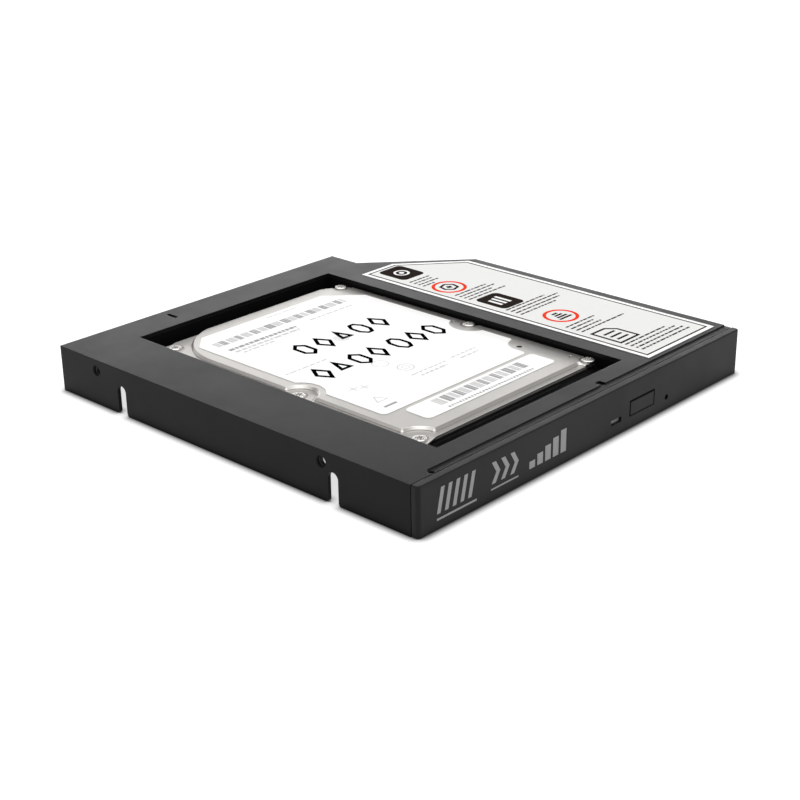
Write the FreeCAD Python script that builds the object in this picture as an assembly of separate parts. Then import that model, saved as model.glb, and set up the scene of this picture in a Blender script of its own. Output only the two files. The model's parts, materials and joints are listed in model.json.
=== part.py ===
import FreeCAD, Part
import os

# Caddy that holds a 2.5 inch drive in the place of a laptop's slim optical drive.
# A folded sheet cover with a bay opening sits on a moulded frame. A bezel with a button
# closes the front, and a C-shaped circuit board joins the drive's socket to the rear plug.
# Sizes are in millimetres. X runs along the bezel, Y from the bezel to the rear and Z up.
# Pieces are drawn from the front left bottom corner, then moved so that the origin is
# the bottom centre.

# Height of the body, and the room on each side of the bay
height = 12.7
bay_left = 17.8
wing_width = 39.2
front_room = 8.15
rear_room = 11.0

# Drive and the gaps round it in the bay
drive_width = 69.85
drive_length = 100.2
drive_height = 9.5
drive_corner = 2.5
drive_side_gap = 0.7
drive_far_gap = 0.45
drive_front_gap = 1.6
slide_room = 4.8

# Plan of the body behind the bezel
seam = 0.25
end_gap = 0.1
corner_run = 26.6
corner_rise = 35.5
step_depth = 10.5

# Folded cover
sheet = 1.0
lip_start = 7.8
lip_seam = 0.3
lip_length = 2.05
lip_drop = 0.25
relief_radius = 0.85
relief_back = 0.7
flange_width = 6.0
flange_foot = 1.0

# Slots and tapped holes of the left wall
slot_width = 3.3
slot_above_head = 0.9
slot_mouth_radius = 0.9
side_hole_front = 29.7
side_hole_rear = 15.3
side_hole_below_top = 3.1
side_hole_bore = 2.5
side_hole_mouth = 3.1
side_hole_sink = 0.3
collar_wall = 0.85
collar_length = 0.8

# Tapped holes of the rear wall, for the laptop's bracket
rear_hole_first = 50.0
rear_hole_spacing = 40.0
rear_hole_height = 6.5
rear_hole_bore = 1.6
rear_hole_mouth = 2.2

# Small slots in the top plate, with the frame's snap lugs below
rear_lug_from_plug = 2.3
rear_lug_from_rear = 4.7
rear_lug_size = (1.2, 4.0)
front_lug_x = 72.8
front_lug_from_beam = 0.6
front_lug_size = (2.0, 2.0)
lug_play = 0.25
lug_height = 0.5

# Folded tabs below the frame, and their screws
tab_width = 7.0
tab_reach = 6.0
tab_right_front = 24.0
tab_right_rear = 10.5
tab_rear_left = 18.0
tab_rear_right = 7.4
screw_two_radius = 1.0
head_round = 0.45
cross_reach = 0.6
cross_width = 0.5
cover_screw_head = 1.9
cover_screw_recess = 0.63
cover_screw_length = 4.5
boss_radius = 2.6
boss_height = 6.5

# Moulded frame
frame_wall = 1.5
frame_floor = 1.6
frame_fit = 0.1
ledge_width = 2.6
ledge_height = 1.5
rear_ledge_reach = 2.4
rib = 1.2
rib_places = (34.0, 62.0, 90.0)
corner_block = 3.6
divider_gap = 1.5
beam_gap = 0.35
beam_depth = 1.0

# Bezel
bezel_depth = 2.0
bezel_end_radius = 1.0
bezel_edge_radius = 0.35
bezel_rib = 1.0
bezel_rib_left = 9.0
bezel_rib_window = 2.8
bezel_rib_middle = 18.3
bezel_rib_right = 16.5
bezel_rib_end = 4.0
bezel_shelf = 1.2
hook_width = 4.0
hook_thick = 1.0
hook_barb = 0.7
hook_play = 0.15
hook_tip = 1.5
hook_height = 2.4
hook_from_bay = 3.3
hook_from_stake = 6.4
hook_from_right = 10.5
hole_from_button = 5.7
hole_height = 3.6
hole_radius = 0.75

# Light window and pipe
window_from_socket = 3.2
window_width = 4.2
window_foot = 3.4
window_height = 1.4
pipe_recess = 0.7
pipe_fit = 0.1
pipe_leg = 1.4
pipe_turn = 0.84
led_width = 1.6
led_depth = 0.9
led_height = 0.8
led_gap = 0.2

# Eject button
button_from_window = 4.0
button_width = 10.1
button_foot = 3.55
button_height = 3.65
button_travel = 0.8
button_gap_wide = 0.55
button_gap_narrow = 0.15
button_set_back = 0.05
button_flange = 0.9
button_flange_depth = 0.6
button_flange_gap = 0.15
button_arm_reach = 11.0
button_arm_height = 2.0
stake_radius = 0.5
stake_length = 1.6
stake_play = 0.15

# Circuit board, below the tabs of the frame
board_thick = 1.0
board_tab = 2.1
board_left = 4.0
board_wall_gap = 1.8
board_beam_gap = 0.2
board_bay_gap = 0.15
board_window_reach = 3.5
board_ring_gap = 0.7
board_rear_gap = 0.5
board_plug_reach = 4.5
board_screw_inset = 5.0
board_screw_front = 14.0
board_screw_rear = 16.0
board_screw_head = 1.8
board_screw_head_height = 1.1
board_screw_grip = 1.6
board_tab_width = 6.0
board_tab_end = 3.2

# Holes in the drive's sides and underside, and the screws through the bay wall
drive_hole_first = 14.0
drive_hole_last = 9.6
drive_hole_height = 3.0
drive_hole_radius = 1.5
drive_hole_depth = 2.9
foot_hole_inset = 4.3
foot_hole_radius = 1.25
foot_hole_depth = 2.5
fixing_hole_end = 0.3
fixing_head_radius = 2.6
fixing_head_height = 1.4
fixing_recess_reach = 1.43
fixing_recess_width = 0.72
fixing_play = 0.15

# Lid of the drive
lid_rim = 0.55
lid_raise = 0.75
lid_plug_gap = 0.1
lid_inset = 0.25
lid_far_inset = 0.55
lid_corner_run = 6.6
lid_corner_rise = 2.6
lid_far_corner_run = 7.5
lid_far_corner_rise = 3.9
lid_tab_reach = 1.4
lid_tab_flat = 2.8
lid_tab_run = 7.6
lid_far_tab_reach = 0.6
lid_far_tab_flat = 1.6
lid_far_tab_run = 3.6
raised_side = 3.45
raised_side_front = 3.95
raised_front = 1.8
raised_corner = 19.0
raised_run_out = 0.6
raised_far_zone = 4.5
raised_slope = 0.65
groove_width = 0.4
groove_depth = 0.12
jog_radius = 4.6
front_jog_radius = 5.3
jog_fillet = 0.8
notch_radius = 2.4
lid_screw_left = 4.1
lid_screw_left_middle = 3.4
lid_screw_right = 1.9
lid_screw_rear_right = 3.0
lid_screw_front = 8.1
lid_screw_right_front = 7.3
lid_screw_middle = 47.8
lid_screw_rear = 3.9
lid_screw_head = 1.75
lid_screw_head_height = 0.65
lid_screw_shank = 0.9
lid_screw_length = 2.6
star_radius = 0.62
star_reach = 1.05
star_lobe = 0.5
star_depth = 0.45
mark_behind_screw = 4.9
mark_length = 2.2
mark_width = 0.6
mark_depth = 0.35
mark_turn = 30.0
breather_radius = 0.8
breather_inset = 5.8
breather_from_front = 26.8
breather_filter_radius = 2.0
breather_filter_thick = 0.4

# Labels
label_thick = 0.08
label_left = 7.45
label_right = 2.95
label_front = 22.5
label_rear = 4.8
label_chamfer = 5.2
label_rear_chamfer_right = 9.0
label_corner = 1.5
label_jog = 6.8
label_far_jog = 6.2
label_far_jog_shift = 1.2
label_step = 5.25
label_step_shift = 0.5
label_step_corner = 0.9
label_gap = 1.2
small_label_left = 12.85
small_label_right = 7.75
small_label_depth = 8.3
top_label_side = 5.6
top_label_front = 1.4
top_label_rear = 9.1
top_label_right = 2.9
top_label_corner_gap = 3.45
top_label_end_gap = 2.34

# Drive plug and socket
plug_side = 1.2
plug_depth = 6.2
plug_arm_height = 5.5
plug_foot = 0.3
plug_height = 7.6
plug_ridge = 0.25
plug_ridge_depth = 0.6
plug_ridge_back = 1.4
plug_ridge_end = 17.1
cavity_left = 5.6
cavity_foot = 1.6
cavity_height = 4.2
cavity_depth = 4.3
cavity_spare = 8.2
tongue_inset = 1.6
tongue_thick = 1.0
tongue_height = 3.3
tongue_front = 0.3
tongue_gap = 3.6
tongue_margin = 0.55
pin_pitch = 1.27
signal_pin_count = 7
power_pin_count = 15
pin_width = 0.7
pin_thick = 0.1
mate_play = 0.15
socket_margin = 0.6
socket_room = 0.4
socket_back = 1.2
socket_foot = 0.9
tail_reach = 0.8
socket_pin_width = 0.5
socket_pin_thick = 0.25

# Rear plug
rear_plug_left = 8.0
rear_plug_set_back = 0.4
rear_plug_height = 5.4
rear_plug_wall = 1.0
rear_plug_cavity = 4.8
rear_signal_pin_count = 7
rear_power_pin_count = 6
rear_tongue_thick = 1.0
rear_tongue_gap = 2.2
rear_tongue_side = 1.115
rear_plug_play = 0.4

# Small parts below the circuit board, in rows behind its front screw and before its rear one
capacitor_size = (3.5, 2.8, 1.9)
capacitor_inset = 3.0
capacitor_front_rows = (22.0, 30.0)
capacitor_rear_rows = (20.0,)
resistor_size = (1.6, 0.8, 0.5)
resistor_inset = 7.5
resistor_front_rows = (20.0, 23.0, 26.0)
resistor_rear_rows = (26.0, 23.0)
resistor_from_window = 1.8
resistor_from_front = 1.5

# Underside of the drive
motor_radius = 13.5
motor_height = 0.9
motor_flange_rise = 0.3
motor_cap_radius = 5.5
motor_cap_rise = 0.15
motor_ring_radius = 10.8
motor_ring_gap = 1.2
motor_ring_top = 0.54
motor_from_front = 64.0
drive_board_inset = 6.6
drive_board_thick = 1.0
drive_board_front = 6.6
drive_board_rear = 62.0
drive_board_pocket = 1.9
drive_board_fit = 0.2
motor_notch = 15.5
drive_board_screw_side = 9.4
drive_board_screw_rows = (10.2, 58.0)
drive_board_screw_head = 1.7
drive_board_screw_grip = 2.0
chip_places = ((18.0, 20.0, 14.0, 14.0), (42.0, 22.0, 9.0, 9.0), (40.0, 38.0, 12.0, 8.0))
chip_height = 0.7

# How far a cutting shape runs past what it cuts, and how far one shape goes into the
# next where both are one piece
far = 1.0
bite = 0.25

# How closely an edge matches the place it is sought at, and when two walls run on smoothly
close = 0.01
corner_search = 0.2
smooth_angle = 0.1

# Bay, drive and overall size
body_front = bezel_depth + seam
bay_front = body_front + front_room
bay_width = drive_side_gap + drive_width + drive_far_gap
bay_length = drive_front_gap + drive_length + slide_room
bay_right = bay_left + bay_width
bay_rear = bay_front + bay_length
width = bay_right + wing_width
depth = bay_rear + rear_room
right = width - end_gap
drive_left = bay_left + drive_side_gap
drive_front = bay_front + drive_front_gap
drive_right = drive_left + drive_width
drive_rear = drive_front + drive_length
drive_foot = ledge_height
drive_top = drive_foot + drive_height
rim_top = drive_top - lid_raise
base_top = rim_top - lid_rim
lid_front = plug_depth + lid_plug_gap

# Cover and frame
rear_wall_length = width - corner_run
side_wall_length = depth - corner_rise
step_front = depth - step_depth
under_sheet = height - sheet
under_lip = under_sheet - lip_drop
lip_front = body_front + lip_seam
lip_rear = lip_front + lip_length
relief_front = lip_front + relief_back
beam_front = bezel_depth + button_flange_gap + button_flange_depth + button_travel + beam_gap
beam_rear = beam_front + beam_depth
ring_left = bay_left - frame_wall
ring_right = bay_right + frame_wall
ring_front = bay_front - frame_wall
ring_rear = bay_rear + frame_wall

# Circuit board, plugs and socket
board_top = under_sheet - board_tab
board_bottom = board_top - board_thick
board_right = ring_left - board_wall_gap
board_front = beam_rear + board_beam_gap
board_arm_rear = ring_front - board_bay_gap
board_rear_front = ring_rear + board_ring_gap
board_rear = depth - sheet - board_rear_gap
board_screw_x = board_left + board_screw_inset
board_screw_last = depth - board_screw_rear
board_screw_places = (board_screw_front, (board_screw_front + board_screw_last) / 2, board_screw_last)
signal_width = (signal_pin_count - 1) * pin_pitch + pin_width + 2 * tongue_margin
power_width = (power_pin_count - 1) * pin_pitch + pin_width + 2 * tongue_margin
cavity_width = tongue_inset + signal_width + tongue_gap + power_width + cavity_spare
cavity_x = (drive_left + cavity_left, drive_left + cavity_left + cavity_width)
signal_tongue = cavity_x[0] + tongue_inset
power_tongue = signal_tongue + signal_width + tongue_gap
tongue_foot = drive_foot + tongue_height
socket_x = (cavity_x[0] - socket_margin, cavity_x[1] + socket_margin)
socket_front = board_front + socket_back
rear_signal_width = (rear_signal_pin_count - 1) * pin_pitch + pin_width + 2 * tongue_margin
rear_power_width = (rear_power_pin_count - 1) * pin_pitch + pin_width + 2 * tongue_margin
rear_tongues_width = rear_signal_width + rear_tongue_gap + rear_power_width
rear_plug_width = rear_tongues_width + 2 * (rear_tongue_side + rear_plug_wall)
rear_plug_right = rear_plug_left + rear_plug_width
rear_plug_front = board_rear_front + rear_plug_set_back
board_rear_reach = rear_plug_right + board_plug_reach
divider = board_rear_reach + divider_gap

# Window, button and what lines up with them
window_left = socket_x[1] + window_from_socket
window_right = window_left + window_width
board_front_reach = window_right + board_window_reach
button_left = window_right + button_from_window
button_right = button_left + button_width
button_top = button_foot + button_height
stake_x = button_right + button_arm_reach - button_arm_height / 2
stake_z = button_top - button_arm_height / 2
hole_x = button_right + hole_from_button
hook_places = (ring_left - hook_from_bay, stake_x + hook_from_stake, width - hook_from_right)
bezel_rib_places = (
    bezel_rib_left, window_left - bezel_rib_middle, window_left - bezel_rib_window,
    width - bezel_rib_right, width - bezel_rib_end)

# Rows of holes, screws, slots and tabs
fixing_height = drive_foot + drive_hole_height
slot_top = fixing_height + fixing_head_radius + slot_above_head
slot_places = (drive_front + drive_hole_first, drive_rear - drive_hole_last)
side_hole_places = (side_hole_front, depth - side_hole_rear)
side_hole_height = height - side_hole_below_top
rear_hole_places = (rear_hole_first, rear_hole_first + rear_hole_spacing)
tab_right_places = (tab_right_front, side_wall_length - tab_right_rear)
tab_rear_places = (divider + tab_rear_left, rear_wall_length - tab_rear_right)
rear_lug_slot = (rear_plug_right + rear_lug_from_plug, depth - rear_lug_from_rear, *rear_lug_size)
front_lug_slot = (front_lug_x, beam_rear + front_lug_from_beam, *front_lug_size)
lid_screw_front_y = drive_front + lid_screw_front
lid_screw_places = (
    (drive_left + lid_screw_left, lid_screw_front_y),
    (drive_left + lid_screw_left_middle, drive_front + lid_screw_middle),
    (drive_left + lid_screw_left, drive_rear - lid_screw_rear),
    (drive_right - lid_screw_right, drive_front + lid_screw_right_front),
    (drive_right - lid_screw_right, drive_front + lid_screw_middle),
    (drive_right - lid_screw_rear_right, drive_rear - lid_screw_rear),
)
lid_screw_seats = [rim_top - lid_rim / 2] * 3 + [drive_top - lid_rim / 2] * 3
breather_place = (drive_right - breather_inset, drive_front + breather_from_front)
motor_place = (drive_left + drive_width / 2, drive_front + motor_from_front)
capacitor_rows = [board_screw_front + row for row in capacitor_front_rows]
capacitor_rows += [board_screw_last - row for row in capacitor_rear_rows]
capacitor_places = [(board_left + capacitor_inset, row) for row in capacitor_rows]
resistor_rows = [board_screw_front + row for row in resistor_front_rows]
resistor_rows += [board_screw_last - row for row in resistor_rear_rows]
resistor_places = [(board_left + resistor_inset, row) for row in resistor_rows]
resistor_places.append((window_left - resistor_from_window, board_front + resistor_from_front))
drive_board_screw_places = [
    (x, drive_front + row)
    for x in (drive_left + drive_board_screw_side, drive_right - drive_board_screw_side)
    for row in drive_board_screw_rows]


def vec(x, y, z):
    return FreeCAD.Vector(x, y, z)


def box(x, y, z):
    """Block between the limits given for each axis."""
    return Part.makeBox(x[1] - x[0], y[1] - y[0], z[1] - z[0], vec(x[0], y[0], z[0]))


def around(centre, half):
    """Limits on both sides of a centre."""
    return (centre - half, centre + half)


def prism(points, z):
    """Upright block on a closed plan of corner points."""
    corners = [vec(px, py, z[0]) for px, py in points]
    face = Part.Face(Part.makePolygon(corners + corners[:1]))
    return face.extrude(vec(0, 0, z[1] - z[0]))


def post(radius, x, y, z):
    """Upright cylinder."""
    return Part.makeCylinder(radius, z[1] - z[0], vec(x, y, z[0]))


def cross_rod(radius, x, y, z):
    """Cylinder that lies along X."""
    return Part.makeCylinder(radius, x[1] - x[0], vec(x[0], y, z), vec(1, 0, 0))


def long_rod(radius, x, y, z):
    """Cylinder that lies along Y."""
    return Part.makeCylinder(radius, y[1] - y[0], vec(x, y[0], z), vec(0, 1, 0))


def rounded_bar(x, y, width_across, z):
    """Upright bar along X with round ends."""
    half = width_across / 2
    bar = box((x[0] + half, x[1] - half), around(y, half), z)
    return bar.fuse(post(half, x[0] + half, y, z)).fuse(post(half, x[1] - half, y, z))


def joined(shapes):
    """One solid from shapes that touch or overlap."""
    whole = shapes[0]
    for shape in shapes[1:]:
        whole = whole.fuse(shape)
    return whole.removeSplitter()


def without(shape, tools):
    for tool in tools:
        shape = shape.cut(tool)
    return shape


def is_upright(edge):
    limits = edge.BoundBox
    return limits.XLength < close and limits.YLength < close


def upright_edges(shape, places):
    """Upright edges that stand at one of the plan places."""
    found = []
    for edge in shape.Edges:
        at = vec(edge.BoundBox.XMin, edge.BoundBox.YMin, 0)
        near = [p for p in places if at.distanceToPoint(vec(*p, 0)) < corner_search]
        if near and is_upright(edge):
            found.append(edge)
    return found


def edges_at(shape, axis, value):
    """Edges that lie wholly in one plane square to an axis: 0 is X, 1 is Y, 2 is Z."""
    found = []
    for edge in shape.Edges:
        limits = edge.BoundBox
        low = (limits.XMin, limits.YMin, limits.ZMin)[axis]
        high = (limits.XMax, limits.YMax, limits.ZMax)[axis]
        if abs(low - value) < close and abs(high - value) < close:
            found.append(edge)
    return found


def edge_is_smooth(shape, edge):
    """True where the two walls beside an upright edge run on in one direction."""
    walls = [f for f in shape.Faces if any(e.isSame(edge) for e in f.Edges)]
    point = edge.valueAt(edge.FirstParameter)
    normals = []
    for wall in walls:
        u, v = wall.Surface.parameter(point)
        normals.append(wall.normalAt(u, v))
    return len(normals) == 2 and normals[0].getAngle(normals[1]) < smooth_angle


def slant_x(y):
    """X of the slanted wall at a distance from the front."""
    return right - (right - rear_wall_length) * (y - side_wall_length) / (step_front - side_wall_length)


def slant_y(x):
    """Y of the slanted wall at a distance from the left side."""
    return side_wall_length + (step_front - side_wall_length) * (right - x) / (right - rear_wall_length)


def body_plan(inset):
    """Corners of the body behind the bezel, drawn in by a wall's thickness."""
    slant = vec(right - rear_wall_length, side_wall_length - step_front, 0)
    slant.normalize()
    turn = inset * (1 + slant.y) / slant.x
    side_turn = inset * (1 - slant.x) / -slant.y
    return [
        (inset, body_front),
        (inset, depth - inset),
        (rear_wall_length - inset, depth - inset),
        (rear_wall_length - inset, step_front - turn),
        (right - inset, side_wall_length - side_turn),
        (right - inset, body_front),
    ]


def cover_slot(place):
    x, y, across, along = place
    return box(around(x, across / 2), around(y, along / 2), (under_sheet - far, height + far))


def wall_slot(y):
    """Slot in the left wall, open below, with a round top and rounded mouth corners."""
    r = slot_width / 2
    wall = (-far, sheet + far)
    mouth_half = r + slot_mouth_radius
    slot = box(wall, around(y, r), (-far, slot_top - r))
    slot = slot.fuse(cross_rod(r, wall, y, slot_top - r))
    mouth = box(wall, around(y, mouth_half), (-far, slot_mouth_radius))
    for side in (-mouth_half, mouth_half):
        mouth = mouth.cut(cross_rod(slot_mouth_radius, wall, y + side, slot_mouth_radius))
    return slot.fuse(mouth)


def tab_bases():
    """Plan limits of each folded tab and the centre of its screw."""
    half = tab_width / 2
    screw_inset = tab_reach / 2 + sheet / 2
    bases = []
    for y in tab_right_places:
        bases.append(((right - tab_reach, right - sheet / 2), around(y, half), (right - screw_inset, y)))
    for x in tab_rear_places:
        bases.append((around(x, half), (depth - tab_reach, depth - sheet / 2), (x, depth - screw_inset)))
    return bases


def side_hole_collars():
    """Drawn collars inside the left and rear walls."""
    side_radius = side_hole_bore / 2 + collar_wall
    rear_radius = rear_hole_bore / 2 + collar_wall
    collars = []
    for y in side_hole_places:
        collars.append(cross_rod(side_radius, (sheet / 2, sheet + collar_length), y, side_hole_height))
    for x in rear_hole_places:
        span = (depth - sheet - collar_length, depth - sheet / 2)
        collars.append(long_rod(rear_radius, x, span, rear_hole_height))
    return collars


def side_hole_bores():
    """Bores through the collars, with sunk mouths outside."""
    side = (side_hole_mouth / 2, side_hole_bore / 2, side_hole_sink)
    rear = (rear_hole_mouth / 2, rear_hole_bore / 2, side_hole_sink)
    bores = []
    for y in side_hole_places:
        bores.append(cross_rod(side_hole_bore / 2, (-far, sheet + far), y, side_hole_height))
        bores.append(Part.makeCone(*side, vec(0, y, side_hole_height), vec(1, 0, 0)))
    for x in rear_hole_places:
        bores.append(long_rod(rear_hole_bore / 2, x, (depth - sheet - far, depth + far), rear_hole_height))
        bores.append(Part.makeCone(*rear, vec(x, depth, rear_hole_height), vec(0, -1, 0)))
    return bores


def top_cover():
    shell = prism(body_plan(0), (0, height))
    hollow = prism(body_plan(sheet), (-far, under_sheet))
    doorway = box((sheet, right - sheet), around(body_front, far), (-far, under_sheet))
    shell = without(shell, [hollow, doorway])
    lip_gap = box((lip_start, right + far), (body_front - far, lip_rear), (under_sheet - far, height + far))
    side_top = box((lip_start, right + far), (body_front - far, lip_rear), (height - lip_drop, height + far))
    right_side = box((right - sheet, right), (body_front, lip_rear), (0, height - lip_drop))
    lip = box((lip_start, right), (lip_front, lip_rear + sheet), (under_lip, height - lip_drop))
    flange = box((0, flange_width), (body_front, body_front + sheet), (flange_foot, height))
    shell = joined([shell.cut(lip_gap).cut(side_top), right_side, lip, flange])
    tabs = [box(x, y, (0, sheet)) for x, y, centre in tab_bases()]
    shell = joined([shell] + side_hole_collars() + tabs)
    cuts = [wall_slot(y) for y in slot_places] + side_hole_bores()
    cuts.append(box((bay_left, bay_right), (bay_front, bay_rear), (-far, height + far)))
    cuts.append(post(relief_radius, lip_start, relief_front, (under_lip - far, height + far)))
    cuts += [cover_slot(rear_lug_slot), cover_slot(front_lug_slot)]
    cuts.append(box(
        (rear_plug_left - rear_plug_play, rear_plug_right + rear_plug_play),
        (depth - sheet - far, depth + far),
        (-far, board_bottom + rear_plug_play)))
    sink = cover_screw_head - screw_two_radius
    for x, y, centre in tab_bases():
        cuts.append(Part.makeCone(cover_screw_head, screw_two_radius, sink, vec(*centre, 0)))
        cuts.append(post(screw_two_radius, *centre, (-far, sheet + far)))
    return without(shell, cuts)


def frame_lug(slot, arm_x, arm_y, arm_top):
    """Snap lug on an arm of the frame, standing in a small slot of the cover."""
    x, y, across, along = slot
    nub_z = (under_sheet - far, under_sheet + lug_height)
    nub = box(around(x, across / 2 - lug_play), around(y, along / 2 - lug_play), nub_z)
    return [box(arm_x, arm_y, (board_top + lug_play, arm_top)), nub]


def frame_ribs():
    """Walls of the frame beside, in front of and behind the bay."""
    middle = (ring_right + right - rib) / 2
    ribs = [box((ring_right - far, right), (y, y + rib), (0, under_sheet)) for y in rib_places]
    ribs.append(box((middle, middle + rib), (ring_front, depth), (0, under_sheet)))
    ribs.append(box((ring_right - rib, ring_right), (beam_front, ring_front + far), (0, under_lip)))
    left_top = board_bottom - board_tab
    ribs.append(box((ring_left, ring_left + rib), (beam_front, ring_front + far), (0, left_top)))
    ribs.append(box((divider, divider + rib), (ring_rear - far, depth), (0, under_sheet)))
    corner = (rear_wall_length - corner_block, rear_wall_length)
    ribs.append(box(corner, (ring_rear - far, depth), (0, under_sheet)))
    return ribs


def frame_cuts():
    """Room in the frame for the tabs, screws, socket, window and hooks."""
    cuts = []
    for x, y, centre in tab_bases():
        tab_x = (x[0] - frame_fit, x[1] + frame_fit)
        cuts.append(box(tab_x, (y[0] - frame_fit, y[1] + frame_fit), (-far, sheet)))
        cuts.append(post(screw_two_radius, *centre, (-far, cover_screw_length)))
    for x in rear_hole_places:
        collar = rear_hole_bore / 2 + collar_wall + frame_fit
        cuts.append(long_rod(collar, x, (depth - sheet - collar_length - frame_fit, depth), rear_hole_height))
    for y in board_screw_places:
        cuts.append(post(screw_two_radius, board_screw_x, y, (board_bottom, board_top + board_screw_grip)))
    for y in slot_places:
        bore = drive_hole_radius + fixing_play
        cuts.append(cross_rod(bore, (ring_left - far, bay_left + far), y, fixing_height))
    cuts.append(box(
        (socket_x[0] - socket_room, socket_x[1] + socket_room),
        (ring_front - far, bay_front + far),
        (drive_foot + socket_foot - 2 * mate_play, board_bottom + mate_play)))
    through_beam = (beam_front - far, beam_rear + far)
    window_z = (window_foot - far, window_foot + window_height + far)
    cuts.append(box((window_left - far, window_right + far), through_beam, window_z))
    hook_top = hook_height + hook_thick + hook_barb
    hook_z = (hook_height - hook_play, hook_top + hook_play)
    cuts += [box(around(x, hook_width / 2 + hook_play), through_beam, hook_z) for x in hook_places]
    return cuts


def inner_frame():
    bay = box((bay_left, bay_right), (bay_front, bay_rear), (-far, height + far))
    inside = prism(body_plan(sheet + frame_fit), (0, under_sheet))
    ring = box((ring_left, ring_right), (ring_front, ring_rear), (0, under_sheet)).cut(bay)
    floor = without(prism(body_plan(sheet + frame_fit), (0, frame_floor)), [
        bay,
        box((-far, right + far), (-far, beam_front), (-far, height)),
        box((-far, ring_left), (ring_front, depth + far), (-far, height)),
        box((-far, divider), (ring_rear, depth + far), (-far, height)),
    ])
    beam_x = (sheet + frame_fit, right - sheet - frame_fit)
    beam = box(beam_x, (beam_front, beam_rear), (0, under_lip))
    ledges = [
        box((bay_left, bay_left + ledge_width), (bay_front, bay_rear), (0, ledge_height)),
        box((bay_right - ledge_width, bay_right), (bay_front, bay_rear), (0, ledge_height)),
        box((bay_left, bay_right), (drive_rear - rear_ledge_reach, bay_rear), (0, ledge_height)),
    ]
    tabs = []
    for y in board_screw_places:
        tab_x = (board_screw_x - board_tab_end, ring_left + far)
        tabs.append(box(tab_x, around(y, board_tab_width / 2), (board_top, under_sheet)))
    x, y, across, along = rear_lug_slot
    lugs = frame_lug(rear_lug_slot, (x - across / 2, divider + far), around(y, along / 2), under_sheet)
    x, y, across, along = front_lug_slot
    lugs += frame_lug(front_lug_slot, around(x, across / 2), (beam_front, y + along / 2), under_lip)
    bosses = [post(boss_radius, *centre, (0, boss_height)) for x, y, centre in tab_bases()]
    inner = [shape.common(inside) for shape in frame_ribs() + bosses]
    frame = joined([ring, floor, beam] + ledges + inner + tabs + lugs)
    return without(frame, frame_cuts())


def front_bezel():
    plate = box((0, width), (0, bezel_depth), (0, height))
    ends = upright_edges(plate, [(0, 0), (width, 0)])
    plate = plate.makeFillet(bezel_end_radius, ends)
    front = []
    for level in (0, height):
        for edge in edges_at(plate, 2, level):
            if edge.BoundBox.YMin < bezel_end_radius / 2:
                front.append(edge)
    plate = plate.makeFillet(bezel_edge_radius, front)
    to_beam = (bezel_depth - bite, beam_front)
    ribs = [box((x, x + bezel_rib), to_beam, (bezel_shelf, under_lip)) for x in bezel_rib_places]
    shelf = box((flange_width + bezel_rib, right - 2 * sheet), to_beam, (0, bezel_shelf))
    hooks = []
    tip = (beam_rear + hook_play, beam_rear + hook_play + hook_tip)
    for x in hook_places:
        span = around(x, hook_width / 2)
        hooks.append(box(span, (bezel_depth - bite, tip[1]), (hook_height, hook_height + hook_thick)))
        hooks.append(box(span, tip, (hook_height, hook_height + hook_thick + hook_barb)))
    stake = long_rod(stake_radius, stake_x, (bezel_depth - bite, bezel_depth + stake_length), stake_z)
    bezel = joined([plate, shelf, stake] + ribs + hooks)
    through = (-far, beam_front)
    return without(bezel, [
        box(
            (button_left - button_gap_wide, button_right + button_gap_narrow),
            (-far, bezel_depth + bite),
            (button_foot - button_gap_narrow, button_top + button_gap_wide)),
        box((window_left, window_right), through, (window_foot, window_foot + window_height)),
        long_rod(hole_radius, hole_x, through, hole_height),
    ])


def eject_button():
    """Cap with a flange behind the bezel and a spring arm on the bezel's pin."""
    flange_front = bezel_depth + button_flange_gap
    flange_y = (flange_front, flange_front + button_flange_depth)
    cap = box((button_left, button_right), (button_set_back, flange_front + bite), (button_foot, button_top))
    cap = cap.makeFillet(button_gap_narrow, edges_at(cap, 1, button_set_back))
    flange = box(
        (button_left - button_flange, button_right + button_flange),
        flange_y,
        (button_foot - button_flange, button_top + button_flange))
    half = button_arm_height / 2
    arm = box((button_right, stake_x), flange_y, around(stake_z, half))
    eye = long_rod(half, stake_x, flange_y, stake_z)
    hole = long_rod(stake_radius + stake_play, stake_x, (flange_y[0] - far, flange_y[1] + far), stake_z)
    return joined([cap, flange, arm, eye]).cut(hole)


def led_front():
    return (board_front + board_arm_rear - led_depth) / 2


def light_pipe():
    """Clear bar behind the window, with a leg up to the light on the board."""
    x = (window_left + pipe_fit, window_right - pipe_fit)
    rear = led_front() + led_depth / 2 + pipe_leg / 2
    bar = box(x, (pipe_recess, rear), (window_foot, window_foot + window_height - pipe_fit))
    leg = box(x, (rear - pipe_leg, rear), (window_foot, board_bottom - led_height - led_gap))
    heel = box(x, (rear - pipe_leg, rear), (window_foot, window_foot + window_height))
    pipe = joined([bar, leg, heel])
    turn = [edge for edge in edges_at(pipe, 2, window_foot) if abs(edge.BoundBox.YMin - rear) < close]
    return pipe.makeChamfer(pipe_turn, turn)


def status_led():
    middle = (window_left + window_right) / 2
    y = (led_front(), led_front() + led_depth)
    return box(around(middle, led_width / 2), y, (board_bottom - led_height, board_bottom))


def circuit_board():
    board = prism([
        (board_left, board_front),
        (board_front_reach, board_front),
        (board_front_reach, board_arm_rear),
        (board_right, board_arm_rear),
        (board_right, board_rear_front),
        (board_rear_reach, board_rear_front),
        (board_rear_reach, board_rear),
        (board_left, board_rear),
    ], (board_bottom, board_top))
    z = (board_bottom - far, board_top + far)
    return without(board, [post(screw_two_radius, board_screw_x, y, z) for y in board_screw_places])


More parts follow.
